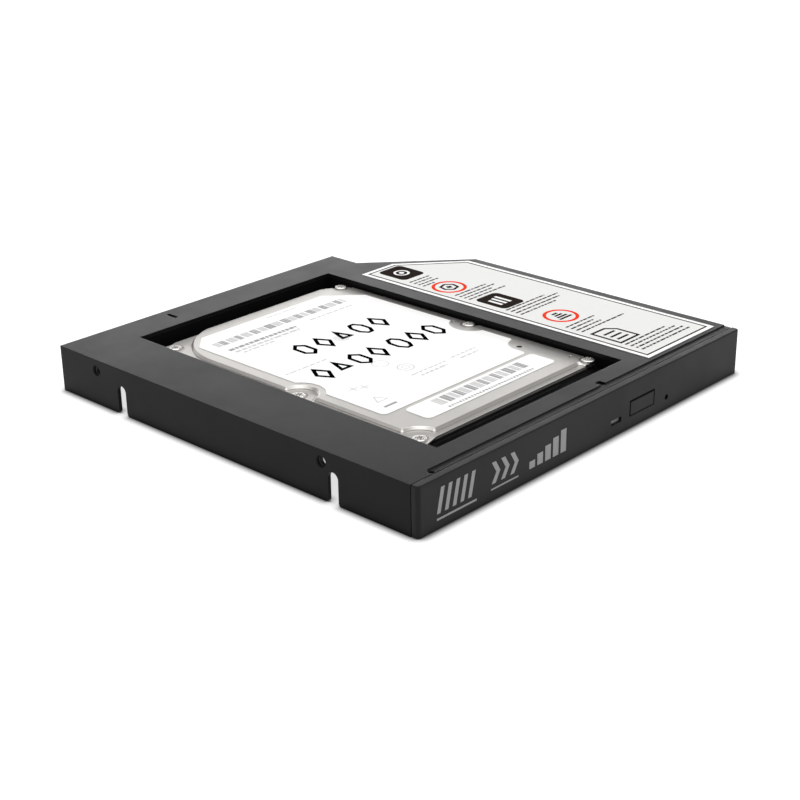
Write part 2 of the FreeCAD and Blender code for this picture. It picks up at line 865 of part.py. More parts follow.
def pan_screw(x, y, seat, head_radius, head_height, shank_radius, length, up):
    """Upright pan-head screw: the head lies on the seat and the shank goes the other way."""
    crown = seat - head_height if up else seat + head_height
    head = post(head_radius, x, y, (min(seat, crown), max(seat, crown)))
    head = head.makeFillet(head_height * head_round, edges_at(head, 2, crown))
    shank = post(shank_radius, x, y, (seat, seat + length) if up else (seat - length, seat))
    return joined([head, shank])


def star_recess(x, y, z):
    """Six-lobed drive recess."""
    lobes = post(star_radius, x, y, z)
    for turn in (0, 60, 120):
        bar = box(around(0, star_reach), around(0, star_lobe / 2), z)
        bar.rotate(vec(0, 0, 0), vec(0, 0, 1), turn)
        bar.translate(vec(x, y, 0))
        lobes = lobes.fuse(bar)
    return lobes


def cross_recess(x, y, head_radius, z):
    """Cross recess in the foot of an upright screw."""
    reach = head_radius * cross_reach
    bar = cross_width / 2
    return box(around(x, reach), around(y, bar), z).fuse(box(around(x, bar), around(y, reach), z))


def board_screws():
    foot = board_bottom - board_screw_head_height
    recess_z = (foot - far, foot + board_screw_head_height / 2)
    screws = []
    for y in board_screw_places:
        screw = pan_screw(
            board_screw_x, y, board_bottom, board_screw_head, board_screw_head_height,
            screw_two_radius, board_thick + board_screw_grip, True)
        screws.append(screw.cut(cross_recess(board_screw_x, y, board_screw_head, recess_z)))
    return Part.makeCompound(screws)


def cover_screws():
    """Flat-head screws that hold the folded tabs to the frame."""
    sink = cover_screw_head - screw_two_radius
    screws = []
    for x, y, centre in tab_bases():
        head = Part.makeCone(cover_screw_head, screw_two_radius, sink, vec(*centre, 0))
        shank = post(screw_two_radius, *centre, (sink, cover_screw_length))
        recess = cross_recess(*centre, cover_screw_head, (-far, cover_screw_recess))
        screws.append(joined([head, shank]).cut(recess))
    return Part.makeCompound(screws)


def drive_fixing_screws():
    """Screws through the bay's left wall into the side of the drive."""
    crown = ring_left - fixing_head_height
    shank_end = drive_left + drive_hole_depth - fixing_hole_end
    recess_x = (crown - far, crown + fixing_head_height / 2)
    bar = fixing_recess_width / 2
    screws = []
    for y in slot_places:
        head = cross_rod(fixing_head_radius, (crown, ring_left), y, fixing_height)
        head = head.makeFillet(fixing_head_height * head_round, edges_at(head, 0, crown))
        shank = cross_rod(drive_hole_radius, (ring_left, shank_end), y, fixing_height)
        level = box(recess_x, around(y, fixing_recess_reach), around(fixing_height, bar))
        upright = box(recess_x, around(y, bar), around(fixing_height, fixing_recess_reach))
        screws.append(without(joined([head, shank]), [level, upright]))
    return Part.makeCompound(screws)


def drive_base_pocket():
    """Recess for the drive's circuit board, with an island for the motor."""
    z = (drive_foot - far, drive_foot + drive_board_pocket)
    side = drive_board_inset - drive_board_fit
    pocket = box(
        (drive_left + side, drive_right - side),
        (drive_front + drive_board_front - drive_board_fit, drive_front + drive_board_rear + drive_board_fit),
        z)
    return pocket.cut(post(motor_notch - drive_board_fit, *motor_place, z))


def drive_base():
    base = box((drive_left, drive_right), (drive_front, drive_rear), (drive_foot, base_top))
    corners = [(x, y) for x in (drive_left, drive_right) for y in (drive_front, drive_rear)]
    base = base.makeFillet(drive_corner, upright_edges(base, corners))
    below = drive_foot - far
    cuts = [
        box(
            (drive_left + plug_side, drive_right - plug_side),
            (drive_front - far, drive_front + plug_depth),
            (below, base_top + far)),
        box(
            (drive_left - far, drive_right + far),
            (drive_front - far, drive_front + plug_depth),
            (drive_foot + plug_arm_height, base_top + far)),
        drive_base_pocket(),
        post(motor_radius, *motor_place, (below, drive_foot + motor_height)),
    ]
    for y in slot_places:
        left_hole = (drive_left - far, drive_left + drive_hole_depth)
        right_hole = (drive_right - drive_hole_depth, drive_right + far)
        cuts.append(cross_rod(drive_hole_radius, left_hole, y, fixing_height))
        cuts.append(cross_rod(drive_hole_radius, right_hole, y, fixing_height))
        for x in (drive_left + foot_hole_inset, drive_right - foot_hole_inset):
            cuts.append(post(foot_hole_radius, x, y, (below, drive_foot + foot_hole_depth)))
    for x, y in lid_screw_places:
        cuts.append(post(lid_screw_shank, x, y, (rim_top - lid_screw_length - lid_rim, base_top + far)))
    filter_z = (base_top - breather_filter_thick, base_top + far)
    cuts.append(post(breather_filter_radius, *breather_place, filter_z))
    roof = drive_foot + drive_board_pocket
    for x, y in drive_board_screw_places:
        cuts.append(post(screw_two_radius, x, y, (roof - far, roof + drive_board_screw_grip)))
    return without(base, cuts)


def lid_plan(z):
    """Whole lid: its rear corners are cut off, and its front corners reach out to their screws."""
    x0 = drive_left + lid_inset
    x1 = drive_right - lid_far_inset
    y0 = drive_front + lid_front
    y1 = drive_rear - lid_far_inset
    return prism([
        (x0, y0 - lid_tab_reach),
        (x0, y1 - lid_corner_rise),
        (x0 + lid_corner_run, y1),
        (x1 - lid_far_corner_run, y1),
        (x1, y1 - lid_far_corner_rise),
        (x1, y0 + lid_far_tab_reach),
        (x1 - lid_far_tab_flat, y0 - lid_far_tab_reach),
        (x1 - lid_far_tab_run, y0),
        (x0 + lid_tab_run, y0),
        (x0 + lid_tab_flat, y0 - lid_tab_reach),
    ], z)


def raised_middle(z, grow):
    """Raised part of the lid, which steps round the left screws and runs out at the right and rear."""
    right_edge = drive_right + far
    rear_edge = drive_rear + raised_run_out
    front_edge = drive_front + lid_front + raised_front - grow
    middle = lid_screw_places[1][1]
    rear = box((drive_left + raised_side - grow, right_edge), (middle, rear_edge), z)
    corner = upright_edges(rear, [(drive_left + raised_side - grow, rear_edge)])
    front = box((drive_left + raised_side_front - grow, right_edge), (front_edge, middle + bite), z)
    zone = box((drive_right - raised_far_zone - grow, right_edge), (drive_front, front_edge + bite), z)
    block = joined([rear.makeFillet(raised_corner + grow, corner), front, zone]).common(lid_plan(z))
    for (x, y), radius in zip(lid_screw_places, (front_jog_radius, jog_radius)):
        block = block.cut(post(radius - grow, x, y, (z[0] - far, z[1] + far)))
    return block


def softened(block, top):
    """Raised part with rounded steps and a sloped edge."""
    x0 = drive_left + raised_side - close
    x1 = drive_right - raised_far_zone + close
    y0 = drive_front + lid_front + close
    y1 = lid_screw_places[1][1] + jog_radius + close
    sharp = []
    for edge in block.Edges:
        x, y = edge.BoundBox.XMin, edge.BoundBox.YMin
        inside = x0 < x < x1 and y0 < y < y1
        if inside and is_upright(edge) and not edge_is_smooth(block, edge):
            sharp.append(edge)
    block = block.makeFillet(jog_fillet, sharp)
    outline = Part.makeCompound(edges_at(lid_plan((base_top, top)), 2, top))
    steps = []
    for edge in edges_at(block, 2, top):
        middle = Part.Vertex(edge.valueAt((edge.FirstParameter + edge.LastParameter) / 2))
        if middle.distToShape(outline)[0] > close:
            steps.append(edge)
    return block.makeChamfer(raised_slope, steps)


def lid_marks():
    """Short pressed marks behind the middle and front screws of the right side."""
    marks = []
    half = mark_length / 2
    for x, y in lid_screw_places[3:5]:
        mark = rounded_bar((-half, half), 0, mark_width, (drive_top - mark_depth, drive_top + far))
        mark.rotate(vec(0, 0, 0), vec(0, 0, 1), mark_turn)
        mark.translate(vec(x - half, y + mark_behind_screw, 0))
        marks.append(mark)
    return marks


def drive_cover():
    groove_foot = rim_top - groove_depth
    rim = lid_plan((base_top, rim_top))
    ring = raised_middle((groove_foot, rim_top + far), groove_width)
    rim = rim.cut(ring).fuse(raised_middle((groove_foot, rim_top), 0))
    lower = lid_plan((base_top, groove_foot))
    lid = joined([rim, lower, softened(raised_middle((groove_foot, drive_top), 0), drive_top)])
    cuts = [post(lid_screw_shank, x, y, (base_top - far, drive_top)) for x, y in lid_screw_places]
    for (x, y), seat in zip(lid_screw_places, lid_screw_seats):
        cuts.append(post(notch_radius, x, y, (seat, drive_top + far)))
        if seat > rim_top:
            cuts.append(box((x, drive_right + far), around(y, notch_radius), (seat, drive_top + far)))
    cuts.append(post(breather_radius, *breather_place, (base_top - far, drive_top + far)))
    return without(lid, cuts + lid_marks())


def drive_cover_screws():
    screws = []
    for (x, y), seat in zip(lid_screw_places, lid_screw_seats):
        crown = seat + lid_screw_head_height
        screw = pan_screw(
            x, y, seat, lid_screw_head, lid_screw_head_height, lid_screw_shank, lid_screw_length, False)
        screws.append(screw.cut(star_recess(x, y, (crown - star_depth, crown + far))))
    return Part.makeCompound(screws)


def breather_filter():
    return post(breather_filter_radius, *breather_place, (base_top - breather_filter_thick, base_top))


def drive_label():
    """Main label, with cut rear corners, jogs round the middle screws and a step past the breather hole."""
    x0 = drive_left + label_left
    x1 = drive_right - label_right
    y0 = drive_front + label_front
    y1 = drive_rear - label_rear
    label = prism([
        (x0, y0),
        (x0, y1 - label_chamfer),
        (x0 + label_chamfer, y1),
        (x1 - label_rear_chamfer_right, y1),
        (x1, y1 - label_rear_chamfer_right),
        (x1, y0),
    ], (drive_top, drive_top + label_thick))
    through = (drive_top - far, drive_top + far)
    step_x = x1 - label_step
    step_y = breather_place[1] - label_step_shift
    step = [box((step_x, x1 + far), (y0 - far, step_y), through), post(label_step, x1, step_y, through)]
    label = without(label, step)
    label = label.makeFillet(label_corner, upright_edges(label, [(x0, y0), (step_x, y0)]))
    label = label.makeFillet(label_step_corner, upright_edges(label, [(x1, step_y + label_step)]))
    near_x, near_y = lid_screw_places[1]
    far_x, far_y = lid_screw_places[4]
    jogs = [
        post(label_jog, near_x, near_y, through),
        post(label_far_jog, far_x + label_far_jog_shift, far_y, through),
    ]
    return without(label, jogs)


def drive_barcode_label():
    x = (drive_left + small_label_left, drive_right - small_label_right)
    rear = drive_front + label_front - label_gap
    y = (rear - small_label_depth, rear)
    label = box(x, y, (drive_top, drive_top + label_thick))
    return label.makeFillet(label_corner, upright_edges(label, [(px, py) for px in x for py in y]))


def top_label():
    """Sticker on the right of the top plate, cut off beside the slanted wall."""
    label_x = (bay_right + top_label_side, right - top_label_right)
    label_y = (lip_rear + top_label_front, step_front - top_label_rear)
    return prism([
        (label_x[0], label_y[0]),
        (label_x[0], label_y[1]),
        (slant_x(label_y[1]) - top_label_corner_gap, label_y[1]),
        (label_x[1], slant_y(label_x[1]) - top_label_end_gap),
        (label_x[1], label_y[0]),
    ], (height, height + label_thick))


def tongue_rows():
    """First edge, width and pins of each tongue in the drive's plug."""
    return ((signal_tongue, signal_width, signal_pin_count), (power_tongue, power_width, power_pin_count))


def drive_plug():
    """Connector block in the end of the drive, with two tongues in its cavity."""
    foot = drive_foot + plug_foot
    rear = drive_front + plug_depth
    block_x = (drive_left + plug_side, drive_right - plug_side)
    block = box(block_x, (drive_front + mate_play, rear), (foot, foot + plug_height))
    ridge_rear = rear - plug_ridge_back
    ridge_z = (foot + plug_height, foot + plug_height + plug_ridge)
    ridge_x = (block_x[0], drive_right - plug_ridge_end)
    ridge = box(ridge_x, (ridge_rear - plug_ridge_depth, ridge_rear), ridge_z)
    cavity_y = (drive_front - far, drive_front + cavity_depth)
    cavity_z = (drive_foot + cavity_foot, drive_foot + cavity_foot + cavity_height)
    block = joined([block, ridge]).cut(box(cavity_x, cavity_y, cavity_z))
    tongue_y = (drive_front + tongue_front, drive_front + cavity_depth + bite)
    tongue_z = (tongue_foot, tongue_foot + tongue_thick)
    return joined([block] + [box((x, x + span), tongue_y, tongue_z) for x, span, count in tongue_rows()])


def drive_plug_contacts():
    """Flat contacts below the tongues of the drive's plug."""
    y = (drive_front + tongue_front + pin_thick, drive_front + cavity_depth)
    z = (tongue_foot - pin_thick, tongue_foot)
    contacts = []
    for first, span, count in tongue_rows():
        for i in range(count):
            x = first + tongue_margin + i * pin_pitch
            contacts.append(box((x, x + pin_width), y, z))
    return Part.makeCompound(contacts)


def socket_pins():
    """Each socket contact: a tail on the board and a bar under the tongue."""
    bar_top = tongue_foot - mate_play
    bar_z = (bar_top - socket_pin_thick, bar_top)
    tail_front = socket_front - tail_reach
    bar_y = (tail_front, drive_front + cavity_depth - 2 * mate_play)
    tail_y = (tail_front, tail_front + socket_pin_thick)
    pins = []
    for first, span, count in tongue_rows():
        for i in range(count):
            centre = first + tongue_margin + pin_width / 2 + i * pin_pitch
            x = around(centre, socket_pin_width / 2)
            pins.append(joined([box(x, tail_y, (bar_z[0], board_bottom)), box(x, bar_y, bar_z)]))
    return Part.makeCompound(pins)


def drive_socket():
    """Socket under the front arm of the board, whose nose goes into the drive's plug."""
    body = box(socket_x, (socket_front, drive_front - mate_play), (drive_foot + socket_foot, board_bottom))
    nose_foot = drive_foot + cavity_foot + mate_play
    nose_top = drive_foot + cavity_foot + cavity_height - mate_play
    nose_y = (drive_front - far, drive_front + cavity_depth - mate_play)
    nose = box((cavity_x[0] + mate_play, cavity_x[1] - mate_play), nose_y, (nose_foot, nose_top))
    slot_y = (drive_front + tongue_front - mate_play, drive_front + cavity_depth + far)
    slot_z = (tongue_foot - mate_play, tongue_foot + tongue_thick + mate_play)
    slots = [box((x - mate_play, x + span + mate_play), slot_y, slot_z) for x, span, count in tongue_rows()]
    return without(joined([body, nose]), slots + [socket_pins()])


def rear_tongue_rows():
    """First edge, width and pins of each tongue in the rear plug."""
    signal = rear_plug_left + rear_plug_wall + rear_tongue_side
    power = signal + rear_signal_width + rear_tongue_gap
    return (
        (signal, rear_signal_width, rear_signal_pin_count),
        (power, rear_power_width, rear_power_pin_count))


def rear_tongue_foot():
    return board_bottom - rear_plug_height / 2 - rear_tongue_thick / 2


def rear_plug():
    foot = board_bottom - rear_plug_height
    block = box((rear_plug_left, rear_plug_right), (rear_plug_front, depth), (foot, board_bottom))
    cavity = box(
        (rear_plug_left + rear_plug_wall, rear_plug_right - rear_plug_wall),
        (depth - rear_plug_cavity, depth + far),
        (foot + rear_plug_wall, board_bottom - rear_plug_wall))
    tongue_y = (depth - rear_plug_cavity - bite, depth - tongue_front)
    tongue_z = (rear_tongue_foot(), rear_tongue_foot() + rear_tongue_thick)
    tongues = [box((x, x + span), tongue_y, tongue_z) for x, span, count in rear_tongue_rows()]
    ends = upright_edges(block, [(rear_plug_left, depth), (rear_plug_right, depth)])
    block = block.makeFillet(rear_plug_wall / 2, ends)
    return joined([block.cut(cavity)] + tongues).cut(rear_plug_contacts())


def rear_plug_contacts():
    """Each rear contact: a flat bar below the tongue and a tail on the board."""
    top = rear_tongue_foot()
    tail_front = rear_plug_front - tail_reach
    bar_y = (tail_front, depth - 2 * tongue_front)
    tail_y = (tail_front, tail_front + socket_pin_thick)
    pins = []
    for first, span, count in rear_tongue_rows():
        for i in range(count):
            left = first + tongue_margin + i * pin_pitch
            x = (left, left + pin_width)
            bar = box(x, bar_y, (top - pin_thick, top))
            pins.append(joined([bar, box(x, tail_y, (top - pin_thick, board_bottom))]))
    return Part.makeCompound(pins)


def board_parts(size, places):
    """Small blocks under the circuit board."""
    across, along, tall = size
    z = (board_bottom - tall, board_bottom)
    return Part.makeCompound([box((x, x + across), (y, y + along), z) for x, y in places])


def spindle_motor():
    """Flange in the drive's underside, with a cap in a ring-shaped recess."""
    roof = drive_foot + motor_height
    flange = post(motor_radius, *motor_place, (drive_foot + motor_flange_rise, roof))
    cap = post(motor_cap_radius, *motor_place, (drive_foot + motor_cap_rise, roof))
    ring_z = (drive_foot, drive_foot + motor_ring_top)
    ring = post(motor_ring_radius, *motor_place, ring_z)
    return joined([flange, cap]).cut(ring.cut(post(motor_cap_radius + motor_ring_gap, *motor_place, ring_z)))


def drive_board():
    x = (drive_left + drive_board_inset, drive_right - drive_board_inset)
    y = (drive_front + drive_board_front, drive_front + drive_board_rear)
    top = drive_foot + drive_board_pocket
    through = (drive_foot - far, top + far)
    board = box(x, y, (top - drive_board_thick, top))
    cuts = [post(screw_two_radius, px, py, through) for px, py in drive_board_screw_places]
    return without(board, [post(motor_notch, *motor_place, through)] + cuts)


def drive_board_screws():
    seat = drive_foot + drive_board_pocket - drive_board_thick
    length = drive_board_thick + drive_board_screw_grip
    recess_z = (drive_foot - far, drive_foot + star_depth)
    screws = []
    for x, y in drive_board_screw_places:
        screw = pan_screw(
            x, y, seat, drive_board_screw_head, seat - drive_foot, screw_two_radius, length, True)
        screws.append(screw.cut(star_recess(x, y, recess_z)))
    return Part.makeCompound(screws)


def drive_board_chips():
    seat = drive_foot + drive_board_pocket - drive_board_thick
    chips = []
    for x, y, across, along in chip_places:
        x0 = drive_left + x
        y0 = drive_front + y
        chips.append(box((x0, x0 + across), (y0, y0 + along), (seat - chip_height, seat)))
    return Part.makeCompound(chips)


pieces = {
    "top_cover": top_cover(),
    "inner_frame": inner_frame(),
    "front_bezel": front_bezel(),
    "eject_button": eject_button(),
    "light_pipe": light_pipe(),
    "status_led": status_led(),
    "circuit_board": circuit_board(),
    "board_screws": board_screws(),
    "board_capacitors": board_parts(capacitor_size, capacitor_places),
    "board_resistors": board_parts(resistor_size, resistor_places),
    "drive_socket": drive_socket(),
    "drive_socket_contacts": socket_pins(),
    "rear_plug": rear_plug(),
    "rear_plug_contacts": rear_plug_contacts(),
    "cover_screws": cover_screws(),
    "drive_fixing_screws": drive_fixing_screws(),
    "top_label": top_label(),
    "drive_base": drive_base(),
    "spindle_motor": spindle_motor(),
    "drive_cover": drive_cover(),
    "drive_cover_screws": drive_cover_screws(),
    "breather_filter": breather_filter(),
    "drive_label": drive_label(),
    "drive_barcode_label": drive_barcode_label(),
    "drive_board": drive_board(),
    "drive_board_screws": drive_board_screws(),
    "drive_board_chips": drive_board_chips(),
    "drive_plug": drive_plug(),
    "drive_plug_contacts": drive_plug_contacts(),
}

os.makedirs("parts", exist_ok=True)
for name, shape in pieces.items():
    shape.translate(vec(-width / 2, -depth / 2, 0))
    shape.exportStep(f"parts/{name}.step")
    print(f"{name}: {len(shape.Solids)} solids, {shape.Volume:.1f} cubic mm, valid {shape.isValid()}")
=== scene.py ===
import json
import math
import random

import bmesh
import bpy
from mathutils import Matrix, Vector


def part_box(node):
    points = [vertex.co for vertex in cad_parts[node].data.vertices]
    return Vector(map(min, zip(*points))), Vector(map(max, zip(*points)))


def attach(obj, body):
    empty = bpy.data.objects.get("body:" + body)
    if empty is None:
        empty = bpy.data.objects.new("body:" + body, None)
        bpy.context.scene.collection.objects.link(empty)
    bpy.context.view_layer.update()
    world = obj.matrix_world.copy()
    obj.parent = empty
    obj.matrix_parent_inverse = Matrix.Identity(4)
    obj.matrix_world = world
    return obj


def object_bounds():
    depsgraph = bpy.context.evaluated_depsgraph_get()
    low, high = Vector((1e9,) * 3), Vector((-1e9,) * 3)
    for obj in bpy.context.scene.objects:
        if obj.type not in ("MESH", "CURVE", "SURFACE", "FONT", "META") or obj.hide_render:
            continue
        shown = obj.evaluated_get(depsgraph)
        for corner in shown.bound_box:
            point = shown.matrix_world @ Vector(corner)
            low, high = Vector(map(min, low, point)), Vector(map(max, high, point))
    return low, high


# Looks of a laptop drive caddy with a 2.5 inch drive in its bay.
# Places are given in millimetres from the left front bottom corner of the object's box,
# as on a drawing, and are turned into the frame's metres when a piece is made.

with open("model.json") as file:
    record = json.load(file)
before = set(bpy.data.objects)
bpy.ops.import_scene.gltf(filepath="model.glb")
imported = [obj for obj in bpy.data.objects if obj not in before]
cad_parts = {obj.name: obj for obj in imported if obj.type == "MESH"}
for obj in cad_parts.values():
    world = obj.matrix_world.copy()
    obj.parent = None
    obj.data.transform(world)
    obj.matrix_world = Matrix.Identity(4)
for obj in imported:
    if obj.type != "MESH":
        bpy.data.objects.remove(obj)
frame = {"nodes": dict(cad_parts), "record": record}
nodes = frame["nodes"]
cad_low, cad_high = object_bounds()

mm = 0.001
corner = Vector((cad_low.x, cad_low.y, cad_low.z))
spread = random.Random(7)


def at(x, y, z):
    """Point of the frame for a place on the drawing."""
    return corner + Vector((x, y, z)) * mm


def limits(node):
    """Lowest and highest place of a node on the drawing."""
    low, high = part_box(node)
    return (low - corner) / mm, (high - corner) / mm


# Camera

camera_place = Vector((-284.2, -265.9, 160.7)) * mm
camera_target = Vector((-9.913, -8.280, 0.0)) * mm
camera_roll = math.radians(-0.7827)
camera_lens = 70.312
camera_sensor = 36.0


def make_camera():
    data = bpy.data.cameras.new("camera")
    data.sensor_fit = "HORIZONTAL"
    data.sensor_width = camera_sensor
    data.lens = camera_lens
    data.clip_start = 0.01
    data.clip_end = 20.0
    back = (camera_place - camera_target).normalized()
    across = Vector((0, 0, 1)).cross(back).normalized()
    up = back.cross(across)
    turned_across = across * math.cos(camera_roll) + up * math.sin(camera_roll)
    turned_up = up * math.cos(camera_roll) - across * math.sin(camera_roll)
    turn = Matrix((turned_across, turned_up, back)).transposed()
    camera = bpy.data.objects.new("camera", data)
    camera.matrix_world = Matrix.Translation(camera_place) @ turn.to_4x4()
    bpy.context.scene.collection.objects.link(camera)
    bpy.context.scene.camera = camera


# Studio

floor_half = 3.0
floor_colour = (0.5, 0.5, 0.5, 1)
floor_lift = 1.45
foot_shade = 0.06
foot_reach = 0.0026
foot_open = (0.5, 1.0)
foot_samples = 16
room_strength = 0.55
room_bands = ((0.0, 1.0), (0.3, 1.0), (0.42, 0.48), (0.78, 0.38), (0.86, 1.0))
roof_light = {"place": (0.05, 0.15, 1.1), "aim": (0.05, 0.15, 0), "size": (1.5, 1.5), "power": 10.0}
front_light = {"place": (0.25, -1.2, 0.55), "aim": (0, 0, 0), "size": (0.9, 0.7), "power": 1.0}
rear_light = {"place": (0.88, 0.97, 0.2), "aim": (0, 0, 0), "size": (1.5, 0.25), "power": 5.2}


def add_light(name, place, aim, size, power):
    data = bpy.data.lights.new(name, "AREA")
    data.shape = "RECTANGLE"
    data.size, data.size_y = size
    data.energy = power
    light = bpy.data.objects.new(name, data)
    direction = Vector(aim) - Vector(place)
    light.rotation_euler = direction.to_track_quat("-Z", "Y").to_euler()
    light.location = place
    bpy.context.scene.collection.objects.link(light)


def seen_directly(tree):
    """One where the camera, a mirror or clear plastic sees the surface, and nought for its light."""
    path = tree.nodes.new("ShaderNodeLightPath")
    seen = path.outputs["Is Camera Ray"]
    for label in ("Is Glossy Ray", "Is Transmission Ray"):
        either = tree.nodes.new("ShaderNodeMath")
        either.operation = "MAXIMUM"
        tree.links.new(seen, either.inputs[0])
        tree.links.new(path.outputs[label], either.inputs[1])
        seen = either.outputs[0]
    return seen


def room_shades(tree):
    """White walls all round, with a greyer band between them and the lamps above."""
    direction = tree.nodes.new("ShaderNodeTexCoord")
    parts = tree.nodes.new("ShaderNodeSeparateXYZ")
    tree.links.new(direction.outputs["Generated"], parts.inputs[0])
    shades = tree.nodes.new("ShaderNodeValToRGB")
    tree.links.new(parts.outputs["Z"], shades.inputs["Fac"])
    ramp = shades.color_ramp
    while len(ramp.elements) < len(room_bands):
        ramp.elements.new(0.5)
    for element, (height, shade) in zip(ramp.elements, room_bands):
        element.position = height
        element.color = (shade, shade, shade, 1)
    return shades.outputs["Color"]


def make_room():
    world = bpy.data.worlds.new("white_room")
    world.use_nodes = True
    tree = world.node_tree
    tree.nodes.clear()
    out = tree.nodes.new("ShaderNodeOutputWorld")
    light = tree.nodes.new("ShaderNodeBackground")
    light.inputs["Color"].default_value = (1, 1, 1, 1)
    light.inputs["Strength"].default_value = room_strength
    seen = tree.nodes.new("ShaderNodeBackground")
    tree.links.new(room_shades(tree), seen.inputs["Color"])
    seen.inputs["Strength"].default_value = 1.0
    mix = tree.nodes.new("ShaderNodeMixShader")
    tree.links.new(seen_directly(tree), mix.inputs["Fac"])
    tree.links.new(light.outputs[0], mix.inputs[1])
    tree.links.new(seen.outputs[0], mix.inputs[2])
    tree.links.new(mix.outputs[0], out.inputs["Surface"])
    bpy.context.scene.world = world
    bpy.context.scene.view_settings.view_transform = "Standard"


def foot_shadow(tree):
    """Floor colour that goes dark in the narrow line where the object stands on it."""
    near = tree.nodes.new("ShaderNodeAmbientOcclusion")
    near.samples = foot_samples
    near.inputs["Distance"].default_value = foot_reach
    shades = tree.nodes.new("ShaderNodeValToRGB")
    tree.links.new(near.outputs["AO"], shades.inputs["Fac"])
    dark, pale = shades.color_ramp.elements
    dark.position, dark.color = foot_open[0], (foot_shade, foot_shade, foot_shade, 1)
    pale.position, pale.color = foot_open[1], floor_colour
    return shades.outputs["Color"]


def make_floor():
    bm = bmesh.new()
    bmesh.ops.create_grid(bm, x_segments=1, y_segments=1, size=floor_half)
    bmesh.ops.translate(bm, verts=bm.verts, vec=(0, 0, cad_low.z))
    mesh = bpy.data.meshes.new("floor")
    bm.to_mesh(mesh)
    bm.free()
    material = bpy.data.materials.new("floor_white")
    material.use_nodes = True
    tree = material.node_tree
    tree.nodes.clear()
    out = tree.nodes.new("ShaderNodeOutputMaterial")
    matt = tree.nodes.new("ShaderNodeBsdfDiffuse")
    lift = tree.nodes.new("ShaderNodeEmission")
    shade = foot_shadow(tree)
    tree.links.new(shade, matt.inputs["Color"])
    tree.links.new(shade, lift.inputs["Color"])
    strength = tree.nodes.new("ShaderNodeMath")
    strength.operation = "MULTIPLY"
    strength.inputs[1].default_value = floor_lift
    both = tree.nodes.new("ShaderNodeAddShader")
    tree.links.new(seen_directly(tree), strength.inputs[0])
    tree.links.new(strength.outputs[0], lift.inputs["Strength"])
    tree.links.new(matt.outputs[0], both.inputs[0])
    tree.links.new(lift.outputs[0], both.inputs[1])
    tree.links.new(both.outputs[0], out.inputs["Surface"])
    mesh.materials.append(material)
    floor = bpy.data.objects.new("floor", mesh)
    bpy.context.scene.collection.objects.link(floor)


# Effects that several finishes share

rounding_samples = 6
grain_detail = 2.0
sheen_detail = 3.0
sheen_breakup = 0.6
sheen_contrast = (0.3, 0.7)


def new_group(name, numbers, outputs):
    """Empty node group with number inputs and the named outputs."""
    group = bpy.data.node_groups.new(name, "ShaderNodeTree")
    for label, value in numbers:
        socket = group.interface.new_socket(name=label, in_out="INPUT", socket_type="NodeSocketFloat")
        socket.default_value = value
    for label, kind in outputs:
        group.interface.new_socket(name=label, in_out="OUTPUT", socket_type=kind)
    return group, group.nodes.new("NodeGroupInput"), group.nodes.new("NodeGroupOutput")


def make_grain():
    """Fine grain over softly rounded edges, as a normal, with the grain's own height."""
    group, given, result = new_group(
        "fine_grain",
        (("Scale", 3000.0), ("Depth", 0.00002), ("Edge Radius", 0.0002)),
        (("Normal", "NodeSocketVector"), ("Height", "NodeSocketFloat")))
    link = group.links.new
    place = group.nodes.new("ShaderNodeTexCoord")
    noise = group.nodes.new("ShaderNodeTexNoise")
    noise.inputs["Detail"].default_value = grain_detail
    link(place.outputs["Object"], noise.inputs["Vector"])
    link(given.outputs["Scale"], noise.inputs["Scale"])
    rounded = group.nodes.new("ShaderNodeBevel")
    rounded.samples = rounding_samples
    link(given.outputs["Edge Radius"], rounded.inputs["Radius"])
    bump = group.nodes.new("ShaderNodeBump")
    link(given.outputs["Depth"], bump.inputs["Distance"])
    link(noise.outputs["Fac"], bump.inputs["Height"])
    link(rounded.outputs["Normal"], bump.inputs["Normal"])
    link(bump.outputs["Normal"], result.inputs["Normal"])
    link(noise.outputs["Fac"], result.inputs["Height"])
    return group


def make_patches():
    """Broad soft patches, from one value to another, for uneven sheen."""
    group, given, result = new_group(
        "uneven_sheen",
        (("Scale", 40.0), ("Low", 0.3), ("High", 0.5)),
        (("Value", "NodeSocketFloat"),))
    link = group.links.new
    place = group.nodes.new("ShaderNodeTexCoord")
    noise = group.nodes.new("ShaderNodeTexNoise")
    noise.inputs["Detail"].default_value = sheen_detail
    noise.inputs["Roughness"].default_value = sheen_breakup
    link(place.outputs["Object"], noise.inputs["Vector"])
    link(given.outputs["Scale"], noise.inputs["Scale"])
    spread_out = group.nodes.new("ShaderNodeMapRange")
    spread_out.inputs["From Min"].default_value = sheen_contrast[0]
    spread_out.inputs["From Max"].default_value = sheen_contrast[1]
    link(noise.outputs["Fac"], spread_out.inputs["Value"])
    link(given.outputs["Low"], spread_out.inputs["To Min"])
    link(given.outputs["High"], spread_out.inputs["To Max"])
    link(spread_out.outputs["Result"], result.inputs["Value"])
    return group


